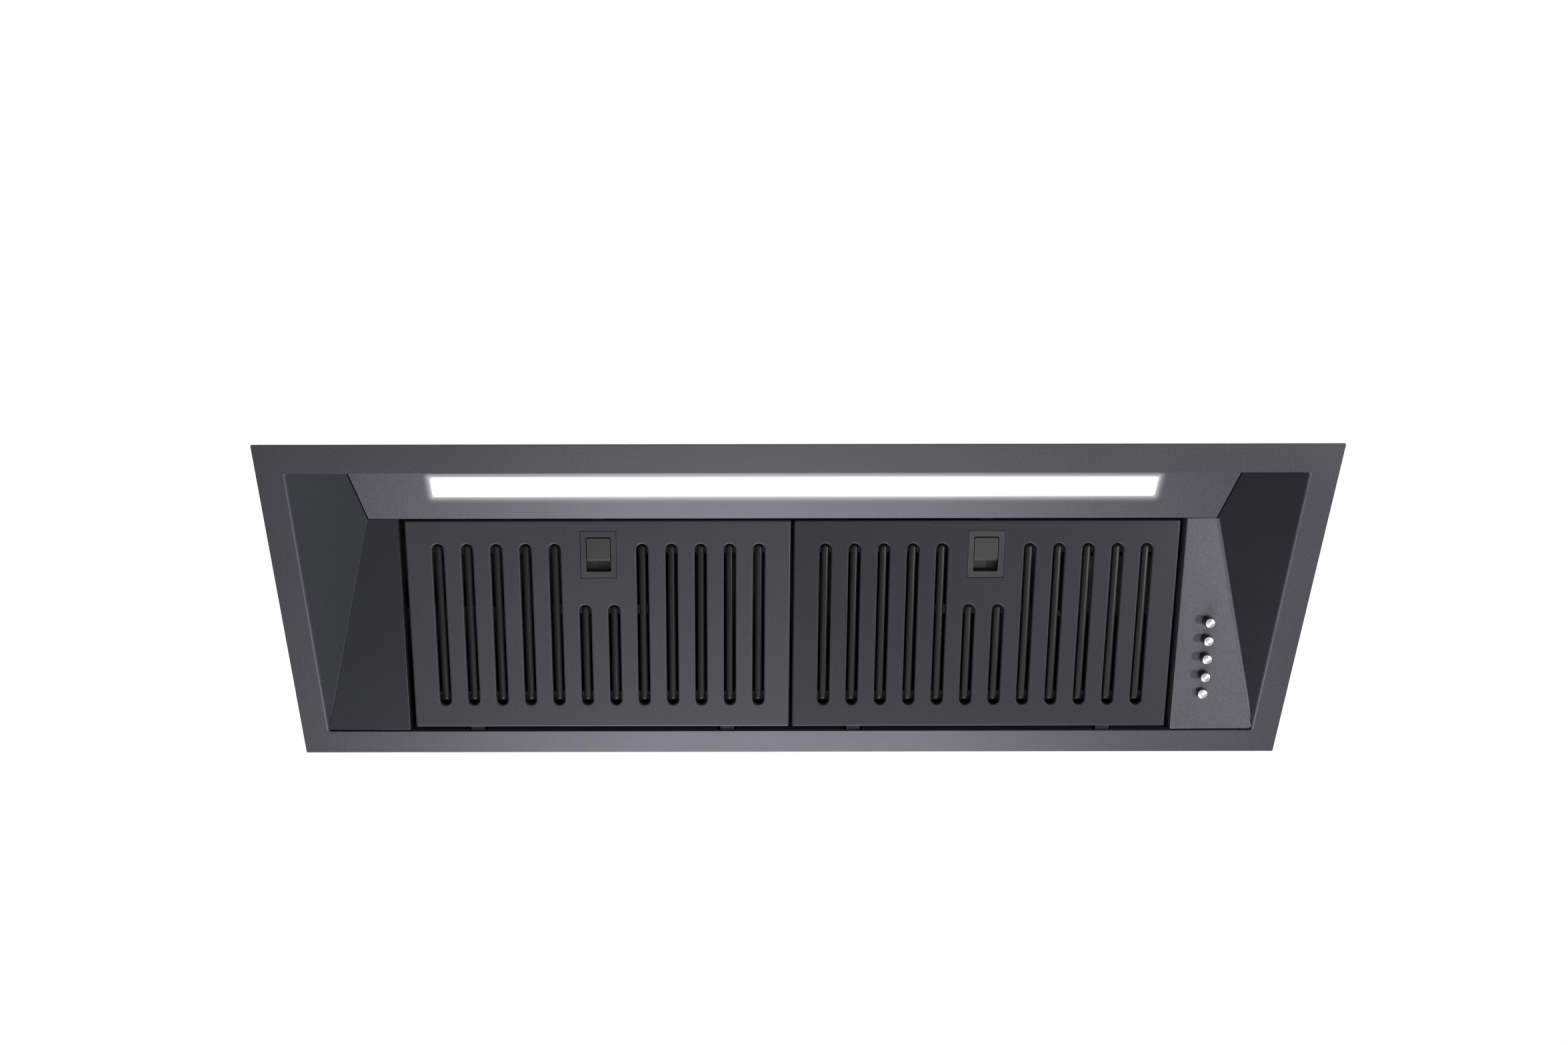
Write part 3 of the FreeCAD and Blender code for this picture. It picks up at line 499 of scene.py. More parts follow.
SHELL_PAINT = PowderCoat("shell_powder_coat", (0.0481, 0.0468, 0.0567))
# The lamp panel's coat carries a painted glow round the lamp strip.
LAMP_PANEL_PAINT_AND_GLOW = PowderCoat("lamp_panel_coat_painted_glow", (0.0481, 0.0468, 0.0567), painted_glow_strength=0.55)
# The cheeks take darker copies of the shell coat: painted shade for their steep, dimly lit faces.
LEFT_CHEEK_PAINTED_SHADE = PowderCoat("left_cheek_coat_painted_shade", (0.0324, 0.0347, 0.0391), roughness=0.38, speckle=0.10)
RIGHT_CHEEK_PAINTED_SHADE = PowderCoat("right_cheek_coat_painted_shade", (0.0225, 0.0229, 0.0279), roughness=0.38, speckle=0.08)
# The end panels take copies of the shell coat: the left one darker, painted shade, and the right one lighter
# and more speckled, painted light from the lamp at the right.
LEFT_END_PAINTED_SHADE = PowderCoat("left_end_coat_painted_shade", (0.0270, 0.0279, 0.0324), roughness=0.42, speckle=0.12)
RIGHT_END_PAINTED_LIGHT = PowderCoat("right_end_coat_painted_light", (0.0756, 0.0752, 0.0873), roughness=0.40, speckle=0.24)
# The right filter takes a darker copy of the left one's coat: painted shade.
LEFT_FILTER_PAINT = PowderCoat("left_filter_coat", (0.0480, 0.0475, 0.0545), metallic=0.4, roughness=0.44,
                               speckle=0.14)
RIGHT_FILTER_PAINTED_SHADE = PowderCoat("right_filter_coat_painted_shade", (0.0275, 0.0272, 0.0316), metallic=0.4, roughness=0.44,
                                speckle=0.14)
# The ribs' near-black coat is painted shade for their depth in the slots.
RIB_PAINTED_SHADE = PowderCoat("rib_coat_painted_shade", (0.0099, 0.0099, 0.0113), metallic=0.2, roughness=0.38,
                       speckle=0.12)
# The bars' and tabs' black matt coat is painted shade in the gaps and behind the slots.
BAR_PAINTED_SHADE = PowderCoat("bar_coat_painted_shade", (0.0032, 0.0032, 0.0036), metallic=0.0, roughness=0.6, speckle=0.1)
GALVANISED = GalvanisedSheet("galvanised_sheet")
BLACK_PLASTIC = MouldedPlastic("black_moulding", (0.022, 0.022, 0.024))
CHROME = PlainMetal("button_chrome_plate", (0.90, 0.90, 0.92), roughness=0.20)
ZINC = PlainMetal("zinc_plate", (0.62, 0.62, 0.60), roughness=0.3)
CAST = PlainMetal("cast_aluminium", (0.40, 0.41, 0.43), roughness=0.5, grain_per_metre=1500.0, depth=0.00006)
EXTRUDED = PlainMetal("extruded_aluminium", (0.72, 0.73, 0.75), roughness=0.32, stretch=(0.03, 1.0, 1.0))
RUBBER = MouldedPlastic("grommet_rubber", (0.02, 0.02, 0.02), roughness=0.75)
OPAL = LitOpal("lit_opal")
BOARD = CircuitBoard("circuit_board")


# --- CAD nodes that keep their own shape ---------------------------------------------
class Edge(Enum):
    """How round the edges of a carried-over node are, in metres."""

    SHEET = 0.00035
    NONE = 0.0


def dress(node: str, material: bpy.types.Material, edge: Edge = Edge.NONE) -> bpy.types.Object:
    """Give a CAD node its finish and soften its edges with live modifiers.

    Args:
        node: the node's name.
        material: its finish.
        edge: how round its edges are.

    Returns:
        The node's object.
    """
    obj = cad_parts[node]
    obj.data.materials.clear()
    obj.data.materials.append(material)
    if edge is not Edge.NONE:
        weld = obj.modifiers.new("weld", "WELD")
        weld.merge_threshold = 0.00001
        bevel = obj.modifiers.new("edges", "BEVEL")
        bevel.width = edge.value
        bevel.segments = 2
        bevel.limit_method = "ANGLE"
        bevel.angle_limit = math.radians(35)
        bevel.harden_normals = False
    return obj


@dataclass
class CarriedParts:
    """The nodes whose CAD shape is right as it is, by finish."""

    galvanised: tuple[str, ...] = ("plenum_casing", "motor_housing", "duct_collar", "motor_bracket",
                                   "blower_scroll", "capacitor_clip")
    zinc: tuple[str, ...] = ("housing_screws", "flap_spindle", "motor_shaft")
    moulded: tuple[str, ...] = ("switch_block", "control_box", "cable_gland", "flap_left", "flap_right",
                                "impeller", "led_driver")
    shell: tuple[str, ...] = ("light_panel",)

    def build(self) -> None:
        """Dress every carried-over node."""
        groups = [(self.galvanised, GALVANISED, Edge.SHEET), (self.zinc, ZINC, Edge.NONE),
                  (self.moulded, BLACK_PLASTIC, Edge.NONE), (self.shell, LAMP_PANEL_PAINT_AND_GLOW, Edge.SHEET),
                  # The cheeks' darker coats are painted shade.
                  (("left_cheek",), LEFT_CHEEK_PAINTED_SHADE, Edge.NONE),
                  (("right_cheek",), RIGHT_CHEEK_PAINTED_SHADE, Edge.NONE),
                  (("motor_body",), CAST, Edge.NONE), (("motor_grommets",), RUBBER, Edge.NONE),
                  (("light_channel", "capacitor"), EXTRUDED, Edge.NONE),
                  (("light_diffuser",), OPAL, Edge.NONE),
                  (("led_board", "control_board"), BOARD, Edge.NONE)]
        for names, finish, edge in groups:
            material = finish.material()
            for name in names:
                dress(name, material, edge)
                log.info("dressed %s with %s", name, finish.name)


# --- surfaces drawn in the filters' plane --------------------------------------------
@dataclass(frozen=True)
class SlopingPlane:
    """Plane in which a part is drawn: x across, s along the slope from the ridge, h into the hood.

    Millimetres go in and the frame's metres come out.
    """

    ridge_y: float = -60.0
    ridge_z: float = 47.1
    run: float = 187.0
    fall: float = 47.1

    def place(self, points: np.ndarray) -> np.ndarray:
        """Turn (x, s, h) into the frame's axes.

        A point goes s along the slope, whose direction is the run and the fall over
        their hypotenuse, and h along the normal, which is that direction turned by a
        right angle.

        Args:
            points: array whose last axis is x, s, h.

        Returns:
            The same array in metres and in the frame's axes.
        """
        length = math.hypot(self.run, self.fall)
        c, f = self.run / length, self.fall / length
        x, s, h = points[..., 0], points[..., 1], points[..., 2]
        return np.stack([x, self.ridge_y + s * c + h * f, self.ridge_z - s * f + h * c], axis=-1) * MM


FILTER_PLANE = SlopingPlane()
LEVEL_PLANE = SlopingPlane(ridge_y=0.0, ridge_z=0.0, run=1.0, fall=0.0)


class Surface:
    """Collects grids and caps and turns them into one mesh object."""

    def __init__(self) -> None:
        """Start empty."""
        self.points: list[np.ndarray] = []
        self.faces: list[tuple[int, ...]] = []
        self.count = 0

    def _add(self, points: np.ndarray) -> int:
        """Keep points.

        Args:
            points: array whose last axis is x, s, h.

        Returns:
            The index of the first of them.
        """
        start = self.count
        flat = points.reshape(-1, 3)
        self.points.append(flat)
        self.count += len(flat)
        return start

    def grid(self, points: np.ndarray, wrap: bool = True, flip: bool = False) -> None:
        """Add a grid of quads.

        Args:
            points: rows by columns by 3.
            wrap: whether the last column joins the first.
            flip: whether the faces look the other way.
        """
        rows, columns = points.shape[:2]
        start = self._add(points)
        index = start + np.arange(rows * columns).reshape(rows, columns)
        after = np.roll(index, -1, axis=1) if wrap else index[:, 1:]
        here = index if wrap else index[:, :-1]
        quads = np.stack([here[:-1], after[:-1], after[1:], here[1:]], axis=-1).reshape(-1, 4)
        self.faces += (quads[:, ::-1] if flip else quads).tolist()

    def cap(self, loop: np.ndarray, flip: bool = False) -> None:
        """Close a loop with one face.

        Args:
            loop: the loop's points.
            flip: whether the face looks the other way.
        """
        start = self._add(loop)
        index = np.arange(start, start + len(loop))
        self.faces.append(tuple((index[::-1] if flip else index).tolist()))

    def box(self, low: tuple[float, float, float], high: tuple[float, float, float]) -> None:
        """Add a closed box.

        Args:
            low: its corner with the least x, s and h.
            high: the opposite corner.
        """
        loop = rectangle(low[0], high[0], low[1], high[1])
        rows = np.stack([lifted(loop, low[2]), lifted(loop, high[2])])
        self.grid(rows)
        self.cap(rows[0], flip=True)
        self.cap(rows[1])

    def build(self, name: str, plane: SlopingPlane, material: bpy.types.Material, body: str, slot: str,
              shift: float = 0.0, sharp: float = 32.0) -> bpy.types.Object:
        """Make the object, place it, and hang it on its body.

        Args:
            name: the object's name.
            plane: the plane in which the points are drawn.
            material: its finish.
            body: the CAD body it rides on.
            slot: the record's material slot; not used.
            shift: how far the drawing is moved along x, in millimetres.
            sharp: angle in degrees above which an edge stays crisp.

        Returns:
            The new object.
        """
        points = np.concatenate(self.points) + np.array([shift, 0.0, 0.0])
        mesh = bpy.data.meshes.new(name)
        mesh.from_pydata(plane.place(points).tolist(), [], self.faces)
        mesh.polygons.foreach_set("use_smooth", np.ones(len(mesh.polygons), bool))
        mesh.set_sharp_from_angle(angle=math.radians(sharp))
        mesh.materials.append(material)
        mesh.update()
        obj = bpy.data.objects.new(name, mesh)
        bpy.context.scene.collection.objects.link(obj)
        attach(obj, body)
        log.info("made %s", name)
        return obj


def lifted(loop: np.ndarray, height: float) -> np.ndarray:
    """Give a flat loop its height."""
    return np.column_stack([loop, np.full(len(loop), height)])


def rectangle(x0: float, x1: float, s0: float, s1: float) -> np.ndarray:
    """Four corners, counter-clockwise seen from +h."""
    return np.array([(x0, s0), (x1, s0), (x1, s1), (x0, s1)])


def rounded_rectangle(x0: float, x1: float, s0: float, s1: float, radius: float,
                      steps: int = 5) -> np.ndarray:
    """Rectangle with round corners.

    Each corner is a quarter circle about its own centre, the four following each other
    counter-clockwise seen from +h.

    Args:
        x0: left side.
        x1: right side.
        s0: front side.
        s1: rear side.
        radius: corner radius.
        steps: points to a corner, less one.

    Returns:
        The loop's points, 4 * (steps + 1) by 2.
    """
    turn = np.linspace(0.0, math.pi / 2, steps + 1)
    centres = np.array([(x1 - radius, s1 - radius), (x0 + radius, s1 - radius),
                        (x0 + radius, s0 + radius), (x1 - radius, s0 + radius)])
    angles = turn[None, :] + np.arange(4)[:, None] * math.pi / 2
    circle = np.stack([np.cos(angles), np.sin(angles)], axis=-1) * radius
    return (centres[:, None, :] + circle).reshape(-1, 2)


def capsule(x: float, s0: float, s1: float, radius: float, angles: np.ndarray) -> np.ndarray:
    """Round-ended outline about a straight segment along s.

    The rear half circle runs over the angles, and the front one over the same plus a
    half turn, so capsules of different radius match point by point.

    Args:
        x: the segment's place across.
        s0: its front end.
        s1: its rear end.
        radius: half the outline's width.
        angles: angles from 0 to pi.

    Returns:
        The loop's points.
    """
    circle = np.stack([np.cos(angles), np.sin(angles)], axis=-1) * radius
    return np.concatenate([np.array([x, s1]) + circle, np.array([x, s0]) - circle])


def inset(loop: np.ndarray, distance: float) -> np.ndarray:
    """Move every side of a counter-clockwise outline inwards.

    Each corner goes along the sum of its two sides' inward normals, over one plus their
    dot product, so that both sides end up the same distance in.

    Args:
        loop: the outline's corners.
        distance: how far.

    Returns:
        The smaller outline.
    """
    along = np.roll(loop, -1, axis=0) - loop
    normal = np.column_stack([-along[:, 1], along[:, 0]]) / np.linalg.norm(along, axis=1)[:, None]
    before = np.roll(normal, 1, axis=0)
    share = 1.0 + (normal * before).sum(axis=1, keepdims=True)
    return loop + distance * (normal + before) / share


def bend(radius: float, steps: int, start: float = 0.0) -> tuple[np.ndarray, np.ndarray]:
    """Quarter bend from flat to upright.

    Args:
        radius: the bend's radius.
        steps: segments.
        start: angle in radians at which it starts.

    Returns:
        Travel along the flat and rise above it, both from the bend's start.
    """
    a = np.linspace(start, math.pi / 2, steps + 1)
    return radius * (np.sin(a) - math.sin(start)), radius * (math.cos(start) - np.cos(a))


# --- baffle filters -------------------------------------------------------------------
@dataclass
class BaffleFilter:
    """Slotted face with rolled lips, ribs behind its slots, and its latch."""

    side: int
    width: float = 328.4
    middle_gap: float = 2.6
    front: float = 1.6
    rear: float = 188.64
    depth: float = 11.0
    sheet: float = 1.0
    slot_count: int = 12
    slot_pitch: float = 24.927
    slot_half: float = 5.0
    slot_front: float = 22.2
    slot_rear: float = 168.24
    short_slot_front: float = 76.6
    cell_margin: float = 6.2
    lip_radius: float = 1.2
    lip_depth: float = 3.4
    rim_radius: float = 1.5
    corner_radius: float = 1.6
    guard: float = 0.15
    rib_half: float = 3.85
    rib_face: float = 2.5
    rib_crown: float = 0.9
    rib_edge: float = 1.2
    rib_depth: float = 3.0
    rib_front_gap: float = 0.8
    rib_rear_gap: float = 2.6
    bar_width: float = 8.0
    bar_thickness: float = 1.6
    tab_spacing: float = 220.0
    tab_width: float = 12.0
    tab_reach: float = 4.6
    tab_low: float = 1.65
    latch_half: float = 15.25
    latch_front: float = 11.2
    latch_rear: float = 52.2
    latch_gap: float = 0.3
    latch_inset: float = 0.3
    bezel_lap: float = 1.0
    bezel_edge: float = 0.25
    bezel_corner: float = 0.8
    pocket_half: float = 10.6
    pocket_front: float = 16.2
    pocket_rear: float = 46.8
    pocket_depth: float = 8.0
    pocket_radius: float = 1.2
    knob_half: float = 10.0
    knob_front: float = 17.3
    knob_rear: float = 38.1
    knob_face: float = 0.5
    knob_bevel: float = 2.2
    knob_edge: float = 0.3
    knob_corner: float = 0.5
    knob_floor_gap: float = 0.3
    bolt_half: float = 5.0
    bolt_reach: float = -4.0
    bolt_low: float = 4.0
    bolt_high: float = 7.0
    bolt_root: float = 1.0
    arc_steps: int = 8

    @property
    def name(self) -> str:
        """Which filter it is."""
        return "left" if self.side < 0 else "right"

    @property
    def centre(self) -> float:
        """X of the filter's middle."""
        return self.side * (self.width + self.middle_gap) / 2

    def slots(self) -> list[tuple[float, float]]:
        """Every slot, evenly spaced about the middle; the middle two are short.

        Returns:
            X and front end of each.
        """
        offsets = [i - (self.slot_count - 1) / 2 for i in range(self.slot_count)]
        return [(o * self.slot_pitch, self.short_slot_front if abs(o) < 1 else self.slot_front)
                for o in offsets]

    def cell_angles(self) -> np.ndarray:
        """Angles of a capsule's end, with the direction of its cell's corners among them.

        Returns:
            Angles from 0 to pi, evenly spaced on each side of the two corners.
        """
        corner = math.atan2(self.cell_margin + self.slot_half, self.slot_pitch / 2)
        side = np.linspace(0.0, corner, self.arc_steps // 2 + 1)
        end = np.linspace(corner, math.pi - corner, self.arc_steps + 1)
        return np.concatenate([side, end[1:], math.pi - side[::-1][1:]])

    def cell_edge(self, x: float, s0: float, s1: float, angles: np.ndarray) -> np.ndarray:
        """Rectangle round a slot, one point for each of the capsule's.

        From the centre of each end a ray goes out at every angle until it meets the
        cell's side or its end, whichever is nearer.

        Args:
            x: the slot's place across.
            s0: centre of its front end.
            s1: centre of its rear end.
            angles: angles from 0 to pi.

        Returns:
            The loop's points.
        """
        half, reach = self.slot_pitch / 2, self.cell_margin + self.slot_half
        cosine, sine = np.cos(angles), np.sin(angles)
        far = np.minimum(half / np.maximum(np.abs(cosine), 1e-6), reach / np.maximum(np.abs(sine), 1e-6))
        ray = np.stack([cosine, sine], axis=-1) * far[:, None]
        return np.concatenate([np.array([x, s1]) + ray, np.array([x, s0]) - ray])

    def slot_cell(self, surface: Surface, x: float, front: float) -> None:
        """One slot with its rolled lip in its own flat cell.

        Rings run from the cell's edge to the slot, over the lip's quarter bend (radius
        less its travel, height its rise), down the lip and back along the sheet's rear.

        Args:
            surface: what the rings are added to.
            x: the slot's place across.
            front: its front end.
        """
        s0, s1 = front + self.slot_half, self.slot_rear - self.slot_half
        angles = self.cell_angles()
        travel, rise = bend(self.lip_radius, 6)
        radii = self.slot_half + self.lip_radius - travel
        cell = self.cell_edge(x, s0, s1, angles)
        rings = [lifted(cell, 0.0), lifted(capsule(x, s0, s1, radii[0] + self.guard, angles), 0.0)]
        rings += [lifted(capsule(x, s0, s1, r, angles), h) for r, h in zip(radii, rise)]
        back = self.slot_half + self.sheet
        rings += [lifted(capsule(x, s0, s1, r, angles), h) for r, h in
                  ((self.slot_half, self.lip_depth), (back, self.lip_depth), (back, self.sheet))]
        rings.append(lifted(cell, self.sheet))
        surface.grid(np.stack(rings), flip=True)

    def flat(self, surface: Surface, x0: float, x1: float, s0: float, s1: float) -> None:
        """One flat rectangle of the face, front and back.

        Args:
            surface: what it is added to.
            x0: left side.
            x1: right side.
            s0: front side.
            s1: rear side.
        """
        loop = rectangle(x0, x1, s0, s1)
        surface.cap(lifted(loop, 0.0), flip=True)
        surface.cap(lifted(loop, self.sheet))

    def face(self, material: bpy.types.Material) -> bpy.types.Object:
        """The folded sheet: slots, flat parts and rims.

        The rim's rings are one rounded outline drawn in by the quarter bend's travel and
        raised by its rise, from the sheet's rear round to the flat face.

        Args:
            material: its powder coat.

        Returns:
            The piece's object.
        """
        surface = Surface()
        for x, front in self.slots():
            self.slot_cell(surface, x, front)
        half = self.width / 2
        rim = self.rim_radius + self.guard
        x_out, s_front, s_rear = half - rim, self.front + rim, self.rear - rim
        x_in = self.slot_count / 2 * self.slot_pitch
        cell_front, cell_rear = self.slot_front - self.cell_margin, self.slot_rear + self.cell_margin
        hole = self.latch_half + self.latch_gap
        hole_front, hole_rear = self.latch_front - self.latch_gap, self.latch_rear + self.latch_gap
        short_cell = self.short_slot_front - self.cell_margin
        self.flat(surface, -x_out, x_out, s_front, hole_front)
        self.flat(surface, -x_out, x_out, cell_rear, s_rear)
        self.flat(surface, -hole, hole, hole_rear, short_cell)
        for side in (-1, 1):
            self.flat(surface, *sorted((side * hole, side * x_out)), hole_front, cell_front)
            self.flat(surface, *sorted((side * x_in, side * x_out)), cell_front, cell_rear)
            self.flat(surface, *sorted((side * hole, side * self.slot_pitch)), cell_front, short_cell)
        travel, rise = bend(self.rim_radius, 5)
        profile = [(self.sheet, self.sheet), (self.sheet, self.depth), (0.0, self.depth)]
        profile += [(d, h) for d, h in zip((self.rim_radius - travel)[::-1], rise[::-1])] + [(rim, 0.0)]
        rings = [lifted(rounded_rectangle(-half + d, half - d, self.front + d, self.rear - d,
                                          max(self.corner_radius - d, 0.01)), h) for d, h in profile]
        surface.grid(np.stack(rings), flip=True)
        obj = surface.build(f"{self.name}_filter_sheet", FILTER_PLANE, material, f"filter_{self.name}",
                            "filter_paint", self.centre)
        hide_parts(f"{self.name}_filter_face")
        return obj

    def tabs(self, material: bpy.types.Material) -> bpy.types.Object:
        """Two tabs at the rear rim that the filter tilts on.

        Args:
            material: their black matt coat, painted shade in the gap behind the filter.

        Returns:
            The piece's object.
        """
        surface = Surface()
        for x in (-self.tab_spacing / 2, self.tab_spacing / 2):
            surface.box((x - self.tab_width / 2, self.rear - self.sheet, self.tab_low),
                        (x + self.tab_width / 2, self.rear + self.tab_reach, self.tab_low + self.sheet))
        return surface.build(f"{self.name}_filter_tabs", FILTER_PLANE, material, f"filter_{self.name}",
                             "filter_paint", self.centre)

    def rib(self, surface: Surface, x: float, front: float) -> None:
        """One rib: a slightly crowned, round-ended strip with rounded edges.

        Its height grows by the crown times the square of the share of the half width,
        and then by the rise of the edge's bend, which starts at the crown's own slope.

        Args:
            surface: what the rib is added to.
            x: its slot's place across.
            front: its slot's front end.
        """
        s0 = front + self.rib_front_gap + self.rib_half
        s1 = self.slot_rear - self.rib_rear_gap - self.rib_half
        inner = self.rib_half - self.rib_edge
        share = np.linspace(0.02, 1.0, 5)
        lean = math.atan2(2 * self.rib_crown, inner)
        travel, rise = bend(self.rib_edge, 5, lean)
        radii = np.concatenate([share * inner, inner + travel[1:]])
        heights = self.rib_face + np.concatenate([self.rib_crown * share ** 2, self.rib_crown + rise[1:]])
        angles = np.linspace(0.0, math.pi, 2 * self.arc_steps + 1)
        rings = [lifted(capsule(x, s0, s1, r, angles), h) for r, h in zip(radii, heights)]
        rings.append(lifted(capsule(x, s0, s1, radii[-1], angles), self.rib_face + self.rib_depth))
        stack = np.stack(rings[::-1])
        surface.grid(stack, flip=True)
        surface.cap(stack[-1], flip=True)
        surface.cap(stack[0])

    def ribs(self, material: bpy.types.Material) -> bpy.types.Object:
        """All ribs behind the slots.

        Args:
            material: their near-black coat, painted shade for their depth in the slots.

        Returns:
            The piece's object.
        """
        surface = Surface()
        for x, front in self.slots():
            self.rib(surface, x, front)
        obj = surface.build(f"{self.name}_filter_ribs", FILTER_PLANE, material, f"filter_{self.name}",
                            "filter_paint", self.centre)
        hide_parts(f"{self.name}_filter_baffle")
        return obj

    def bars(self, material: bpy.types.Material) -> bpy.types.Object:
        """Cross bars that carry the ribs from behind.

        Args:
            material: their black matt coat, painted shade seen through the slots.

        Returns:
            The piece's object.
        """
        surface = Surface()
        low = self.rib_face + self.rib_depth
        high = low + self.bar_thickness
        half = self.width / 2 - self.sheet
        near = 1.5 * self.slot_pitch - self.rib_half
        first, last = self.slot_front + self.rib_edge, self.slot_rear - self.rib_rear_gap
        middle = self.short_slot_front + self.rib_edge
        surface.box((-half, first, low), (-near, first + self.bar_width, high))
        surface.box((near, first, low), (half, first + self.bar_width, high))
        surface.box((-half, last - self.bar_width, low), (half, last, high))
        reach = near + 2 * self.rib_half
        surface.box((-reach, middle, low), (reach, middle + self.bar_width, high))
        obj = surface.build(f"{self.name}_filter_bars", FILTER_PLANE, material, f"filter_{self.name}",
                            "filter_paint", self.centre)
        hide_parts(f"{self.name}_filter_baffle")
        return obj

    def bezel(self, material: bpy.types.Material) -> bpy.types.Object:
        """Moulded frame set into the face, with the pocket for the knob.

        Rings of one rounded outline go up the outside, over both small edges and down
        into the pocket, whose floor is a cap.

        Args:
            material: its plastic.

        Returns:
            The piece's object.
        """
        surface = Surface()
        face, edge = self.latch_inset, self.bezel_edge

        def ring(half: float, front: float, rear: float, radius: float, h: float) -> np.ndarray:
            """One rounded outline at its height."""
            return lifted(rounded_rectangle(-half, half, front, rear, radius), h)

        outer = [(0.0, self.sheet + self.bezel_lap), (0.0, face + edge),
                 (edge * 0.3, face + edge * 0.3), (edge, face), (edge * 1.5, face)]
        rings = [ring(self.latch_half - d, self.latch_front + d, self.latch_rear - d,
                      self.bezel_corner - d * 0.5, h)
                 for d, h in outer]
        inner = [(edge * 1.5, face), (edge, face), (edge * 0.3, face + edge * 0.3), (0.0, face + edge),
                 (0.0, self.pocket_depth)]
        rings += [ring(self.pocket_half + d, self.pocket_front - d, self.pocket_rear + d,
                       self.pocket_radius + d, h) for d, h in inner]
        stack = np.stack(rings)
        surface.grid(stack, flip=True)
        surface.cap(stack[-1], flip=True)
        obj = surface.build(f"{self.name}_latch_frame", FILTER_PLANE, material, f"filter_{self.name}",
                            "black_plastic", self.centre)
        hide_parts(f"{self.name}_latch_bezel")
        return obj

    def knob(self, material: bpy.types.Material) -> bpy.types.Object:
        """Flat sliding knob, bevelled at its rear end, with its bolt.

        Rings of one rounded outline rise from the back; the rear side alone draws in as
        they climb the bevel.

        Args:
            material: its plastic.

        Returns:
            The piece's object.
        """
        surface = Surface()
        edge, slope = self.knob_edge, self.knob_bevel
        face, back = self.knob_face, self.pocket_depth - self.knob_floor_gap
        steps = [(0.0, 0.0, back), (0.0, 0.0, face + slope), (0.0, slope - edge, face + edge),
                 (edge * 0.3, slope - edge * 0.3, face + edge * 0.3), (edge, slope, face)]
        rings = [lifted(rounded_rectangle(-self.knob_half + d, self.knob_half - d, self.knob_front + d,
                                          self.knob_rear - rear, self.knob_corner), h)
                 for d, rear, h in steps]
        stack = np.stack(rings)
        surface.grid(stack, flip=True)
        surface.cap(stack[-1], flip=True)
        surface.cap(stack[0])
        surface.box((-self.bolt_half, self.bolt_reach, self.bolt_low),
                    (self.bolt_half, self.knob_front + self.bolt_root, self.bolt_high))
        obj = surface.build(f"{self.name}_latch_knob", FILTER_PLANE, material, f"latch_{self.name}",
                            "black_plastic", self.centre)
        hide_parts(f"{self.name}_latch_slider")
        return obj

    def build(self, paint: bpy.types.Material, rib_paint: bpy.types.Material, dark_paint: bpy.types.Material,
              moulding: bpy.types.Material) -> None:
        """Make every piece of the filter.

        Args:
            paint: the filter's powder coat.
            rib_paint: the ribs' near-black coat, painted shade for their depth in the slots.
            dark_paint: the black matt coat of the bars and tabs, painted shade.
            moulding: the latch's plastic.
        """
        self.face(paint)
        self.ribs(rib_paint)
        self.bars(dark_paint)
        self.tabs(dark_paint)
        self.bezel(moulding)
        self.knob(moulding)
        log.info("built the %s filter", self.name)


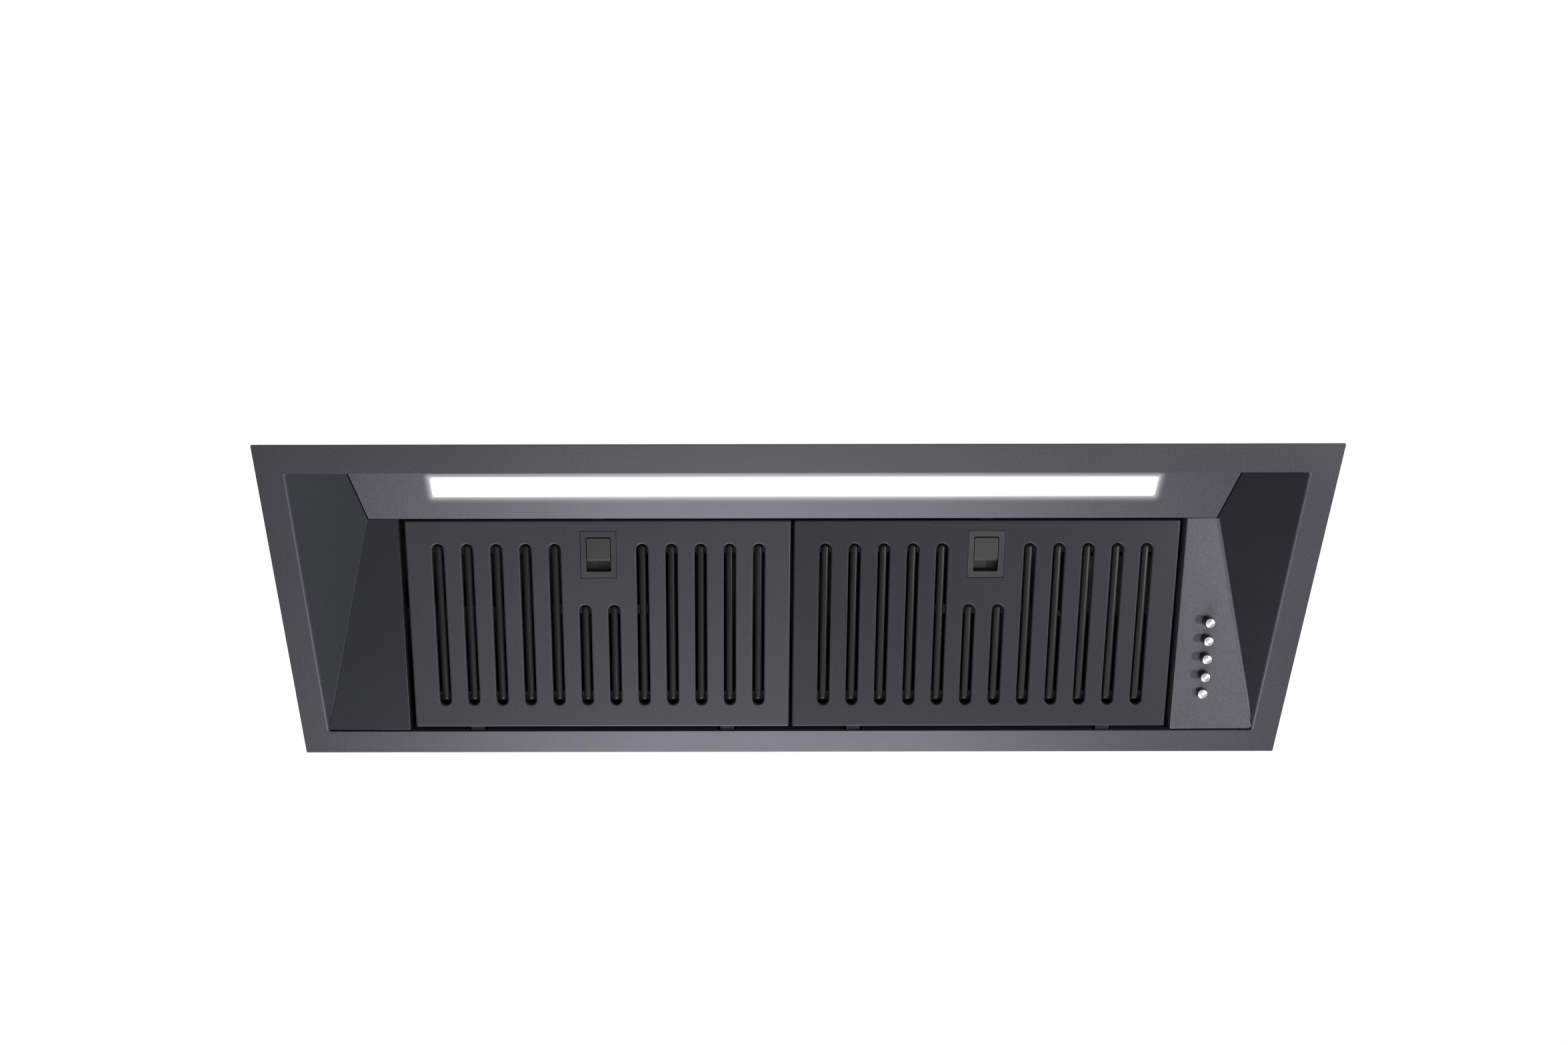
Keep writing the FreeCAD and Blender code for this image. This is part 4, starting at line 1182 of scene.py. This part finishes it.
# --- folded shell ---------------------------------------------------------------------
@dataclass
class FlangeSheet:
    """Flat border whose inner ends roll into the leaning cheeks, with the fold behind the filters."""

    half_x: float = 430.0
    half_y: float = 150.0
    outer_radius: float = 1.0
    opening_half: float = 406.5
    opening_front: float = -125.0
    opening_rear: float = 127.0
    opening_radius: float = 2.0
    thick: float = 1.2
    roll_radius: float = 2.05
    edge: float = 0.25
    flat_run: float = 0.3
    fold_half: float = 334.7
    fold_height: float = 12.0
    fold_sheet: float = 1.0
    windows: tuple[float, ...] = (-275.5, -55.5, 55.5, 275.5)
    window_half: float = 8.0
    window_top: float = 11.2

    def opening(self, across: float, along: float, height: float) -> np.ndarray:
        """Loop of the opening, grown by one distance at its ends and another at its long sides.

        Args:
            across: growth at both ends.
            along: growth at both long sides.
            height: the loop's height.

        Returns:
            The loop's points.
        """
        half, radius = self.opening_half + across, self.opening_radius + along
        front, rear = self.opening_front - along, self.opening_rear + along
        return lifted(rounded_rectangle(-half, half, front, rear, radius), height)

    def outline(self, edge: float, height: float) -> np.ndarray:
        """Loop of the outer outline, drawn in by an edge.

        Args:
            edge: how far it is drawn in.
            height: the loop's height.

        Returns:
            The loop's points.
        """
        x, y = self.half_x - edge, self.half_y - edge
        return lifted(rounded_rectangle(-x, x, -y, y, self.outer_radius - edge), height)

    def build(self, paint: bpy.types.Material) -> None:
        """Make the border and its rear fold.

        The section starts at the opening's top edge, runs down at 45 degrees, rolls flat
        over an arc (one less the sine of the turn across, one less its cosine down), and
        goes out to the crisp outer edge and back over the top.

        Args:
            paint: the shell's powder coat.
        """
        surface = Surface()
        rings = [self.opening(0.0, 0.0, self.thick)]
        for turn in np.linspace(math.pi / 4, 0.0, 6):
            across = self.roll_radius * (1.0 - math.sin(turn))
            flat = self.flat_run * (1.0 - math.sin(turn) / math.sin(math.pi / 4))
            rings.append(self.opening(across, flat, self.roll_radius * (1.0 - math.cos(turn))))
        rings.append(self.opening(self.roll_radius + self.flat_run, 2 * self.flat_run, 0.0))
        for edge, height in ((2 * self.edge, 0.0), (self.edge, 0.0), (0.3 * self.edge, 0.3 * self.edge),
                             (0.0, self.edge), (0.0, self.thick)):
            rings.append(self.outline(edge, height))
        rings.append(rings[0])
        surface.grid(np.stack(rings))
        low, rear = self.thick, self.opening_rear
        sides = (-self.window_half, self.window_half)
        edges = [-self.fold_half] + [x + d for x in self.windows for d in sides] + [self.fold_half]
        for left, right in zip(edges[::2], edges[1::2]):
            surface.box((left, rear, low), (right, rear + self.fold_sheet, self.window_top))
        surface.box((-self.fold_half, rear, self.window_top),
                    (self.fold_half, rear + self.fold_sheet, low + self.fold_height))
        obj = surface.build("flange_sheet", LEVEL_PLANE, paint, "root", "shell_paint")
        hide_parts("flange_frame")
        log.info("built the flange")


@dataclass
class EndPanel:
    """Plate beside a filter with folded sides, and the soft bend where it meets the cheek."""

    side: int
    bend_radius: float
    inner: float = 334.7
    ridge_half: float = 360.6
    flare: float = 0.24424
    rear: float = 191.44
    corner: float = 2.0
    depth: float = 11.0
    sheet: float = 1.0
    fold_radius: float = 0.8
    lean: float = 45.0
    taper: float = 16.0
    bend_start: float = 0.3
    bend_lift: float = 0.03
    least_share: float = 0.02
    steps: int = 40

    @property
    def name(self) -> str:
        """Which panel it is."""
        return "left" if self.side < 0 else "right"

    def outline(self) -> np.ndarray:
        """Corners of the plate, counter-clockwise seen from +h.

        Returns:
            The corners, whose outer side widens by the flare times the way from the ridge.
        """
        far = self.ridge_half + self.flare * (self.rear - self.corner)
        loop = np.array([(self.inner, 0.0), (self.ridge_half, 0.0), (far, self.rear - self.corner),
                         (far - self.corner, self.rear), (self.inner, self.rear)])
        return loop if self.side > 0 else (loop * np.array([-1.0, 1.0]))[::-1]

    def plate(self, paint: bpy.types.Material) -> None:
        """Tray with its sides turned up into the hood.

        The outline is drawn in by the fold's travel and raised by its rise.

        Args:
            paint: its powder coat.
        """
        surface = Surface()
        travel, rise = bend(self.fold_radius, 4)
        profile = [(self.sheet, self.sheet), (self.sheet, self.depth), (0.0, self.depth)]
        profile += [(d, h) for d, h in zip((self.fold_radius - travel)[::-1], rise[::-1])]
        profile.append((self.fold_radius + 0.2, 0.0))
        loop = self.outline()
        stack = np.stack([lifted(inset(loop, d), h) for d, h in profile])
        surface.grid(stack, flip=True)
        surface.cap(stack[-1], flip=True)
        surface.cap(stack[0])
        obj = surface.build(f"{self.name}_end_tray", FILTER_PLANE, paint, "root", "shell_paint")
        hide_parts(f"{self.name}_end_panel")

    def soft_bend(self, paint: bpy.types.Material) -> None:
        """Fillet along the cheek, tapering out towards the rear.

        At every station the arc's centre stands one radius off both surfaces: the point
        on their common line plus the radius times the sum of their normals over one plus
        the normals' dot product. The arc's points lie one radius from it, against
        normals blended from one surface's to the other's.

        Args:
            paint: its powder coat.
        """
        surface = Surface()
        reach = self.rear - self.taper / 2
        s = np.linspace(self.bend_start, reach, self.steps)
        across = self.side * (self.ridge_half + self.flare * s)
        line = FILTER_PLANE.place(np.stack([across, s, 0 * s], axis=-1)) / MM
        tip = FILTER_PLANE.place(np.array([0.0, 0.0, -1.0])) - FILTER_PLANE.place(np.zeros(3))
        panel = tip / np.linalg.norm(tip)
        lean = math.radians(self.lean)
        cheek = np.array([-self.side * math.sin(lean), 0.0, -math.cos(lean)])
        radius = self.bend_radius * np.clip((reach - s) / self.taper, self.least_share, 1.0)
        centre = line + radius[:, None] * (panel + cheek) / (1.0 + panel @ cheek)
        share = np.linspace(0.0, 1.0, 9)[:, None]
        turned = (1.0 - share) * panel + share * cheek
        turned /= np.linalg.norm(turned, axis=1, keepdims=True)
        points = centre[None] - (radius[:, None] - self.bend_lift) * turned[:, None, :]
        surface.grid(points, wrap=False, flip=self.side > 0)
        surface.build(f"{self.name}_cheek_bend", LEVEL_PLANE, paint, "root", "shell_paint", sharp=80.0)

    def build(self, paint: bpy.types.Material, bend_paint: bpy.types.Material) -> None:
        """Make the plate and its bend.

        Args:
            paint: the plate's powder coat.
            bend_paint: the bend's powder coat.
        """
        self.plate(paint)
        self.soft_bend(bend_paint)
        log.info("built the %s end panel", self.name)


# --- push buttons ---------------------------------------------------------------------
@dataclass
class PushButtons:
    """Row of round push buttons: black barrel, chrome cap with a ring groove, dark collar."""

    count: int = 5
    x: float = 359.4
    first: float = 91.34
    pitch: float = 16.5
    radius: float = 4.0
    proud: float = 8.0
    latched: float = 3.5
    cap_height: float = 1.5
    collar_radius: float = 4.9
    collar_proud: float = 0.5
    inner_end: float = 3.0
    steps: int = 48

    def lathe(self, s: float, profile: list[tuple[float, float]]) -> np.ndarray:
        """Turn a profile of radius and height about the button's axis.

        Each profile point becomes a circle: x and s take the radius times cosine and
        sine of evenly spaced angles.

        Args:
            s: the axis's place along the slope.
            profile: radius and height of each ring.

        Returns:
            Rings by steps by 3.
        """
        angle = np.linspace(0.0, 2 * math.pi, self.steps, endpoint=False)
        radii, heights = np.array(profile).T
        x = self.x + radii[:, None] * np.cos(angle)
        y = s + radii[:, None] * np.sin(angle)
        return np.stack([x, y, np.broadcast_to(heights[:, None], x.shape)], axis=-1)

    def turned(self, name: str, s: float, profile: list[tuple[float, float]], material: bpy.types.Material,
               body: str, slot: str) -> bpy.types.Object:
        """One closed turned piece.

        Args:
            name: the object's name.
            s: its axis's place along the slope.
            profile: radius and height, from inside the hood down to the middle of its face.
            material: its finish.
            body: the CAD body it rides on.
            slot: the record's material slot.

        Returns:
            The piece's object.
        """
        surface = Surface()
        rings = self.lathe(s, profile)
        surface.grid(rings, flip=True)
        surface.cap(rings[0])
        surface.cap(rings[-1], flip=True)
        return surface.build(name, FILTER_PLANE, material, body, slot, sharp=40.0)

    def cap_profile(self, top: float) -> list[tuple[float, float]]:
        """Rounded rim, ring groove and a slightly domed middle.

        Args:
            top: how far the face stands out of the panel.

        Returns:
            Radius and height of each ring.
        """
        r = self.radius
        return [(r - 0.25, -top + self.cap_height), (r, -top + self.cap_height - 0.1), (r, -top + 0.45),
                (r - 0.07, -top + 0.22), (r - 0.22, -top + 0.06), (r - 0.45, -top), (r - 0.8, -top),
                (r - 0.95, -top + 0.12), (r - 1.15, -top + 0.16), (r - 1.4, -top + 0.02),
                (r - 2.0, -top - 0.10), (r - 2.8, -top - 0.19), (0.4, -top - 0.23), (0.05, -top - 0.23)]

    def build(self, chrome: bpy.types.Material, moulding: bpy.types.Material) -> None:
        """Make the caps, barrels and collars.

        Args:
            chrome: the caps' plating.
            moulding: the plastic of the barrels and collars.
        """
        for i in range(self.count):
            s = self.first + i * self.pitch
            top = self.proud - (self.latched if i == self.count - 1 else 0.0)
            body = f"button_{i + 1}"
            cap = self.turned(f"{body}_cap", s, self.cap_profile(top), chrome, body, "button_chrome")
            barrel = [(self.radius - 0.1, self.inner_end), (self.radius - 0.1, -top + self.cap_height),
                      (self.radius - 0.6, -top + self.cap_height)]
            core = self.turned(f"{body}_barrel", s, barrel, moulding, body, "black_plastic")
            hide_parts(body)
            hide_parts(body)
        surface = Surface()
        inner, outer, low = self.radius + 0.1, self.collar_radius, -self.collar_proud
        for i in range(self.count):
            ring = [(inner, self.inner_end), (inner, low + 0.15), (inner + 0.1, low),
                    (outer - 0.2, low), (outer, low + 0.2), (outer, 0.2)]
            surface.grid(self.lathe(self.first + i * self.pitch, ring))
        collars = surface.build("button_collars", FILTER_PLANE, moulding, "root", "black_plastic", sharp=40.0)
        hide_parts("button_bushes")
        log.info("built the push buttons")


# --- studio ---------------------------------------------------------------------------
@dataclass(frozen=True)
class SoftLamp:
    """Soft rectangular lamp that faces a point. Places and sizes in metres, power in watts."""

    name: str
    place: tuple[float, float, float]
    size: tuple[float, float]
    power: float
    aim: tuple[float, float, float] = (0.0, 0.0, 0.03)

    def build(self) -> None:
        """Make the lamp and turn it to the point that it faces."""
        data = bpy.data.lights.new(self.name, "AREA")
        data.shape = "RECTANGLE"
        data.size, data.size_y = self.size
        data.energy = self.power
        obj = bpy.data.objects.new(self.name, data)
        obj.location = self.place
        direction = Vector(self.aim) - Vector(self.place)
        obj.rotation_euler = direction.to_track_quat("-Z", "Y").to_euler()
        bpy.context.scene.collection.objects.link(obj)


@dataclass
class Studio:
    """Pale floor well below the hood, soft lamps, white surroundings and the camera."""

    floor_height: float = -1.5
    floor_half: float = 6.0
    camera_place: tuple[float, float, float] = (-0.0601, -0.5777, -0.9420)
    camera_rise: float = 62.2
    camera_roll: float = -0.0016
    focal_pixels: float = 1975.2
    frame_pixels: float = 2352.0
    centre_pixels: float = 1082.6
    sensor: float = 36.0
    ambient: float = 0.31
    lamps: tuple[SoftLamp, ...] = (
        SoftLamp("rear_softbox", (0.0, 1.25, -1.2), (1.2, 0.6), 20.0),
        SoftLamp("far_softbox", (0.0, 2.2, -1.0), (1.6, 0.8), 25.0),
        SoftLamp("low_softbox", (0.0, 0.75, -1.35), (0.9, 0.5), 4.3),
        SoftLamp("right_softbox", (1.25, -0.10, -0.95), (0.12, 0.12), 12.0, aim=(0.35, 0.0, 0.0)),
        SoftLamp("button_softbox", (0.90, 0.20, -1.38), (0.45, 0.45), 0.7, aim=(0.35, 0.0, 0.0)),
        SoftLamp("top_softbox", (0.6, -0.8, 1.8), (1.6, 1.6), 17.0, aim=(0.0, 0.0, 0.2)))

    def camera(self) -> None:
        """Camera below and in front of the hood, looking up at it.

        The lens follows from the focal length in pixels over the frame's width, and the
        shift from how far the view's centre stands from the frame's centre.
        """
        data = bpy.data.cameras.new("camera")
        data.sensor_fit = "HORIZONTAL"
        data.sensor_width = self.sensor
        data.lens = self.focal_pixels / self.frame_pixels * self.sensor
        data.shift_x = (self.frame_pixels / 2 - self.centre_pixels) / self.frame_pixels
        data.clip_start = 0.01
        obj = bpy.data.objects.new("camera", data)
        obj.location = self.camera_place
        tilt = Euler((math.radians(90 + self.camera_rise), 0, 0)).to_quaternion()
        obj.rotation_mode = "QUATERNION"
        obj.rotation_quaternion = tilt @ Quaternion((0, 0, 1), self.camera_roll)
        bpy.context.scene.collection.objects.link(obj)
        bpy.context.scene.camera = obj

    def world(self) -> None:
        """White to the camera and dimmer as light."""
        world = bpy.data.worlds.new("surroundings")
        world.use_nodes = True
        g = Graph(world.node_tree)
        path = g.node("ShaderNodeLightPath")
        strength = Value(g, path.outputs["Is Camera Ray"]) * (1.0 - self.ambient) + self.ambient
        back = g.node("ShaderNodeBackground", {}, {"Color": (1, 1, 1, 1), "Strength": strength})
        g.node("ShaderNodeOutputWorld", {}, {"Surface": back.outputs[0]})
        bpy.context.scene.world = world

    def floor(self) -> None:
        """Plain pale floor."""
        material, g = new_material("floor_paint")
        cloud = g.noise(2.0, 2.0)
        colour = g.ramp(cloud, [(0.3, (0.80, 0.80, 0.80, 1)), (0.7, (0.84, 0.84, 0.84, 1))])
        g.principled({"Base Color": colour, "Roughness": 0.8})
        half = self.floor_half
        corners = np.array([(-half, -half), (half, -half), (half, half), (-half, half)])
        points = np.column_stack([corners, np.full(4, self.floor_height)])
        mesh = bpy.data.meshes.new("floor")
        mesh.from_pydata(points.tolist(), [], [(0, 1, 2, 3)])
        mesh.materials.append(material)
        obj = bpy.data.objects.new("floor", mesh)
        bpy.context.scene.collection.objects.link(obj)

    def build(self) -> None:
        """Make the camera, the surroundings, the floor and the lamps."""
        self.camera()
        self.world()
        self.floor()
        for lamp in self.lamps:
            lamp.build()
        log.info("studio ready")


def main() -> None:
    """Build the hood's looks and its studio."""
    logging.basicConfig(level=logging.INFO, format="%(message)s")
    bpy.context.scene.view_settings.view_transform = "Standard"
    CarriedParts().build()
    rib_paint, bar_paint, moulding = RIB_PAINTED_SHADE.material(), BAR_PAINTED_SHADE.material(), BLACK_PLASTIC.material()
    # The right filter's darker coat is painted shade.
    for side, paint in ((-1, LEFT_FILTER_PAINT), (1, RIGHT_FILTER_PAINTED_SHADE)):
        BaffleFilter(side).build(paint.material(), rib_paint, bar_paint, moulding)
    FlangeSheet().build(SHELL_PAINT.material())
    # Left end panel and its bend in painted shade, right ones in painted light.
    left_end, right_end = LEFT_END_PAINTED_SHADE.material(), RIGHT_END_PAINTED_LIGHT.material()
    EndPanel(-1, bend_radius=1.3).build(left_end, left_end)
    EndPanel(1, bend_radius=3.5).build(right_end, right_end)
    PushButtons().build(CHROME.material(), moulding)
    Studio().build()


if __name__ == "__main__":
    main()
